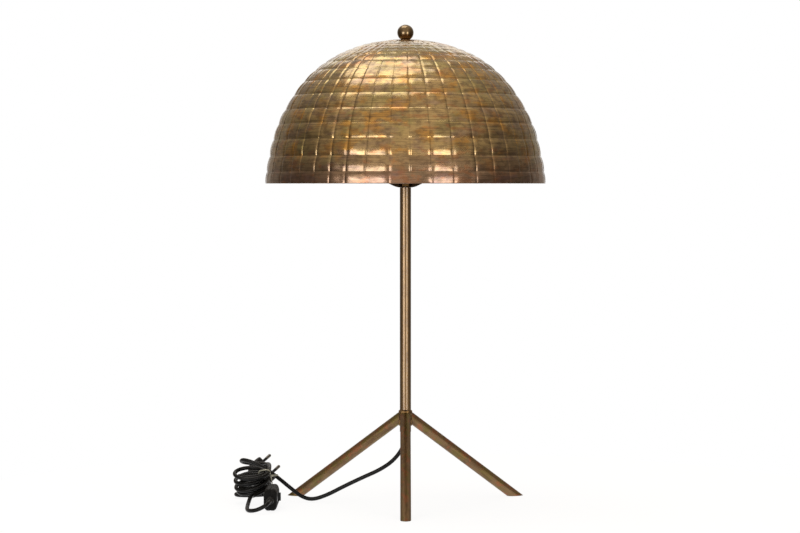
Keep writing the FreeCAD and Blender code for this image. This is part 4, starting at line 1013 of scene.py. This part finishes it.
def makeTie(shape, hank):
    # a rounded oblong in the plane across the strands, wound forward by the lead on each turn
    reach, middle = (shape["right"] - shape["left"]) / 2, (shape["right"] + shape["left"]) / 2
    path = []
    for i in range(int(shape["turns"] * shape["points"]) + 1):
        angle = 2 * math.pi * i / shape["points"] + shape["start"]
        across, tall = [math.copysign(abs(v) ** shape["squareness"], v)
                        for v in (math.cos(angle), math.sin(angle))]
        path.append(Vector((middle + reach * across, -shape["lead"] * (i / shape["points"] - 1),
                            shape["half"] * tall)))
    paths = [path]
    for side in (0, math.pi):
        tail = []
        for i in range(shape["tailSteps"] + 1):
            turn = side + 2 * math.pi * shape["twists"] * i / shape["tailSteps"]
            tail.append(path[-1] + Vector((
                shape["tail"] * i / shape["tailSteps"], shape["twistRadius"] * math.cos(turn),
                shape["twistRadius"] * math.sin(turn))))
        paths.append(tail)
    holder = addTube("hankTie", paths, shape, makeMaterial("coatedWire", coatedWire))
    piece = plainMesh(holder)
    bpy.data.objects.remove(holder)
    lean = (Matrix.Rotation(math.radians(hank["roll"]), 4, "X")
            @ Matrix.Rotation(math.radians(-shape["tilt"]), 4, "Y"))
    piece.data.transform(Matrix.Translation(Vector(hank["tie"]) * mm) @ lean)
    smooth(piece.data)
    dress(piece, "stand", "tie_wire", "hank_tie")
    return piece


hankTie = makeTie(tieShape, hankShape)
print("reliefs and tie made")

# each cord's centre line, measured for the printed length
mainLine, plugLine = centreLine(mainFlex), centreLine(plugFlex)
print("cord made: %.0f mm and %.0f mm" % (lineLength(mainLine) / mm, lineLength(plugLine) / mm))


# light: a warm room, brightest above and in front and dimmer to the sides, that turns white right behind
# the lamp, with two soft boxes in front, one overhead and one behind
studio = {
    "room": (0.38, 0.84),
    "roomColour": "#fff1de",
    "roomTowards": (0, -0.5, 0.87),
    "roomSpan": (-0.25, 0.8),
    "sides": (0.45, 0.95, 0.45),
    "whiteFrom": (0.93, 1.0),
    "boxes": [
        {"name": "leftBox", "place": (-1.06, -1.70, 0.36), "size": (1.05, 0.96), "power": 11.6},
        {"name": "rightBox", "place": (1.0, -1.73, 0.36), "size": (0.7, 0.96), "power": 7.7},
        {"name": "topBox", "place": (-0.3, 0.15, 2.1), "size": (1.05, 1.3), "power": 9.4},
        {"name": "backBox", "place": (-0.1, 2.1, 1.6), "size": (1.5, 1.0), "power": 4.4},
    ],
    "aim": (0, 0, 0.44),
}

# floor: a round of matt paper, all but white to the eye, so that only the soft shadow shows on it
paper = {
    "radius": 0.6,
    "sides": 64,
    "colour": "#f4f4f4",
    "glowShare": 0.85,
    "glow": 1.055,
}


def makeStudio(light):
    scene = bpy.context.scene
    scene.view_settings.view_transform = "Standard"
    for box in light["boxes"]:
        data = bpy.data.lights.new(box["name"], "AREA")
        data.shape = "RECTANGLE"
        data.size, data.size_y = box["size"]
        data.energy = box["power"]
        lamp = addObject(box["name"], data)
        lamp.location = box["place"]
        lamp.rotation_euler = (Vector(light["aim"]) - lamp.location).to_track_quat("-Z", "Y").to_euler()
    world = bpy.data.worlds.new("studio")
    scene.world = world
    world.use_nodes = True
    tree = world.node_tree
    tree.nodes.clear()
    path = addNode(tree, "ShaderNodeLightPath").outputs
    towards = addNode(tree, "ShaderNodeTexCoord").outputs["Generated"]
    split = addNode(tree, "ShaderNodeSeparateXYZ", {0: towards}).outputs
    behind = addNode(tree, "ShaderNodeMapRange", {
        "Value": split["Y"], "From Min": light["whiteFrom"][0], "From Max": light["whiteFrom"][1]})
    mirrored = addNode(tree, "ShaderNodeMath", {0: path["Is Glossy Ray"], 1: path["Is Transmission Ray"]},
                       operation="MAXIMUM")
    mirrored = addNode(tree, "ShaderNodeMath", {0: mirrored, 1: behind}, operation="MULTIPLY")
    shown = addNode(tree, "ShaderNodeMath", {0: path["Is Camera Ray"], 1: mirrored}, operation="MAXIMUM")
    facing = addNode(tree, "ShaderNodeVectorMath", {0: towards, 1: light["roomTowards"]},
                     operation="DOT_PRODUCT").outputs["Value"]
    brightness = addNode(tree, "ShaderNodeMapRange", {
        "Value": facing, "From Min": light["roomSpan"][0], "From Max": light["roomSpan"][1],
        "To Min": light["room"][0], "To Max": light["room"][1]}, interpolation_type="SMOOTHSTEP")
    aside = addNode(tree, "ShaderNodeMath", {0: split["X"]}, operation="ABSOLUTE")
    dimmed = addNode(tree, "ShaderNodeMapRange", {
        "Value": aside, "From Min": light["sides"][0], "From Max": light["sides"][1],
        "To Min": 1.0, "To Max": light["sides"][2]})
    brightness = addNode(tree, "ShaderNodeMath", {0: brightness, 1: dimmed}, operation="MULTIPLY")
    room = addNode(tree, "ShaderNodeBackground", {
        "Color": linear(light["roomColour"]), "Strength": brightness})
    white = addNode(tree, "ShaderNodeBackground", {"Color": (1, 1, 1, 1), "Strength": 1.0})
    both = addNode(tree, "ShaderNodeMixShader", {0: shown, 1: room, 2: white})
    addNode(tree, "ShaderNodeOutputWorld", {"Surface": both})


def makeFloor(look):
    material = bpy.data.materials.new("whitePaper")
    material.use_nodes = True
    tree = material.node_tree
    shader = tree.nodes["Principled BSDF"]
    shader.inputs["Base Color"].default_value = linear(look["colour"])
    shader.inputs["Roughness"].default_value = 1
    path = addNode(tree, "ShaderNodeLightPath").outputs
    seen = path["Is Camera Ray"]
    for ray in ("Is Glossy Ray", "Is Transmission Ray"):
        seen = addNode(tree, "ShaderNodeMath", {0: seen, 1: path[ray]}, operation="MAXIMUM")
    share = addNode(tree, "ShaderNodeMath", {0: seen, 1: look["glowShare"]}, operation="MULTIPLY")
    glow = addNode(tree, "ShaderNodeEmission", {"Strength": look["glow"]})
    both = addNode(tree, "ShaderNodeMixShader", {0: share, 1: shader, 2: glow})
    tree.links.new(both.outputs[0], tree.nodes["Material Output"].inputs["Surface"])
    turns = [2 * math.pi * i / look["sides"] for i in range(look["sides"])]
    mesh = bpy.data.meshes.new("paperFloor")
    mesh.from_pydata([(look["radius"] * math.cos(a), look["radius"] * math.sin(a), 0) for a in turns], [],
                     [list(range(look["sides"]))])
    addObject("paperFloor", mesh, material)


makeStudio(studio)
makeFloor(paper)
print("studio set")
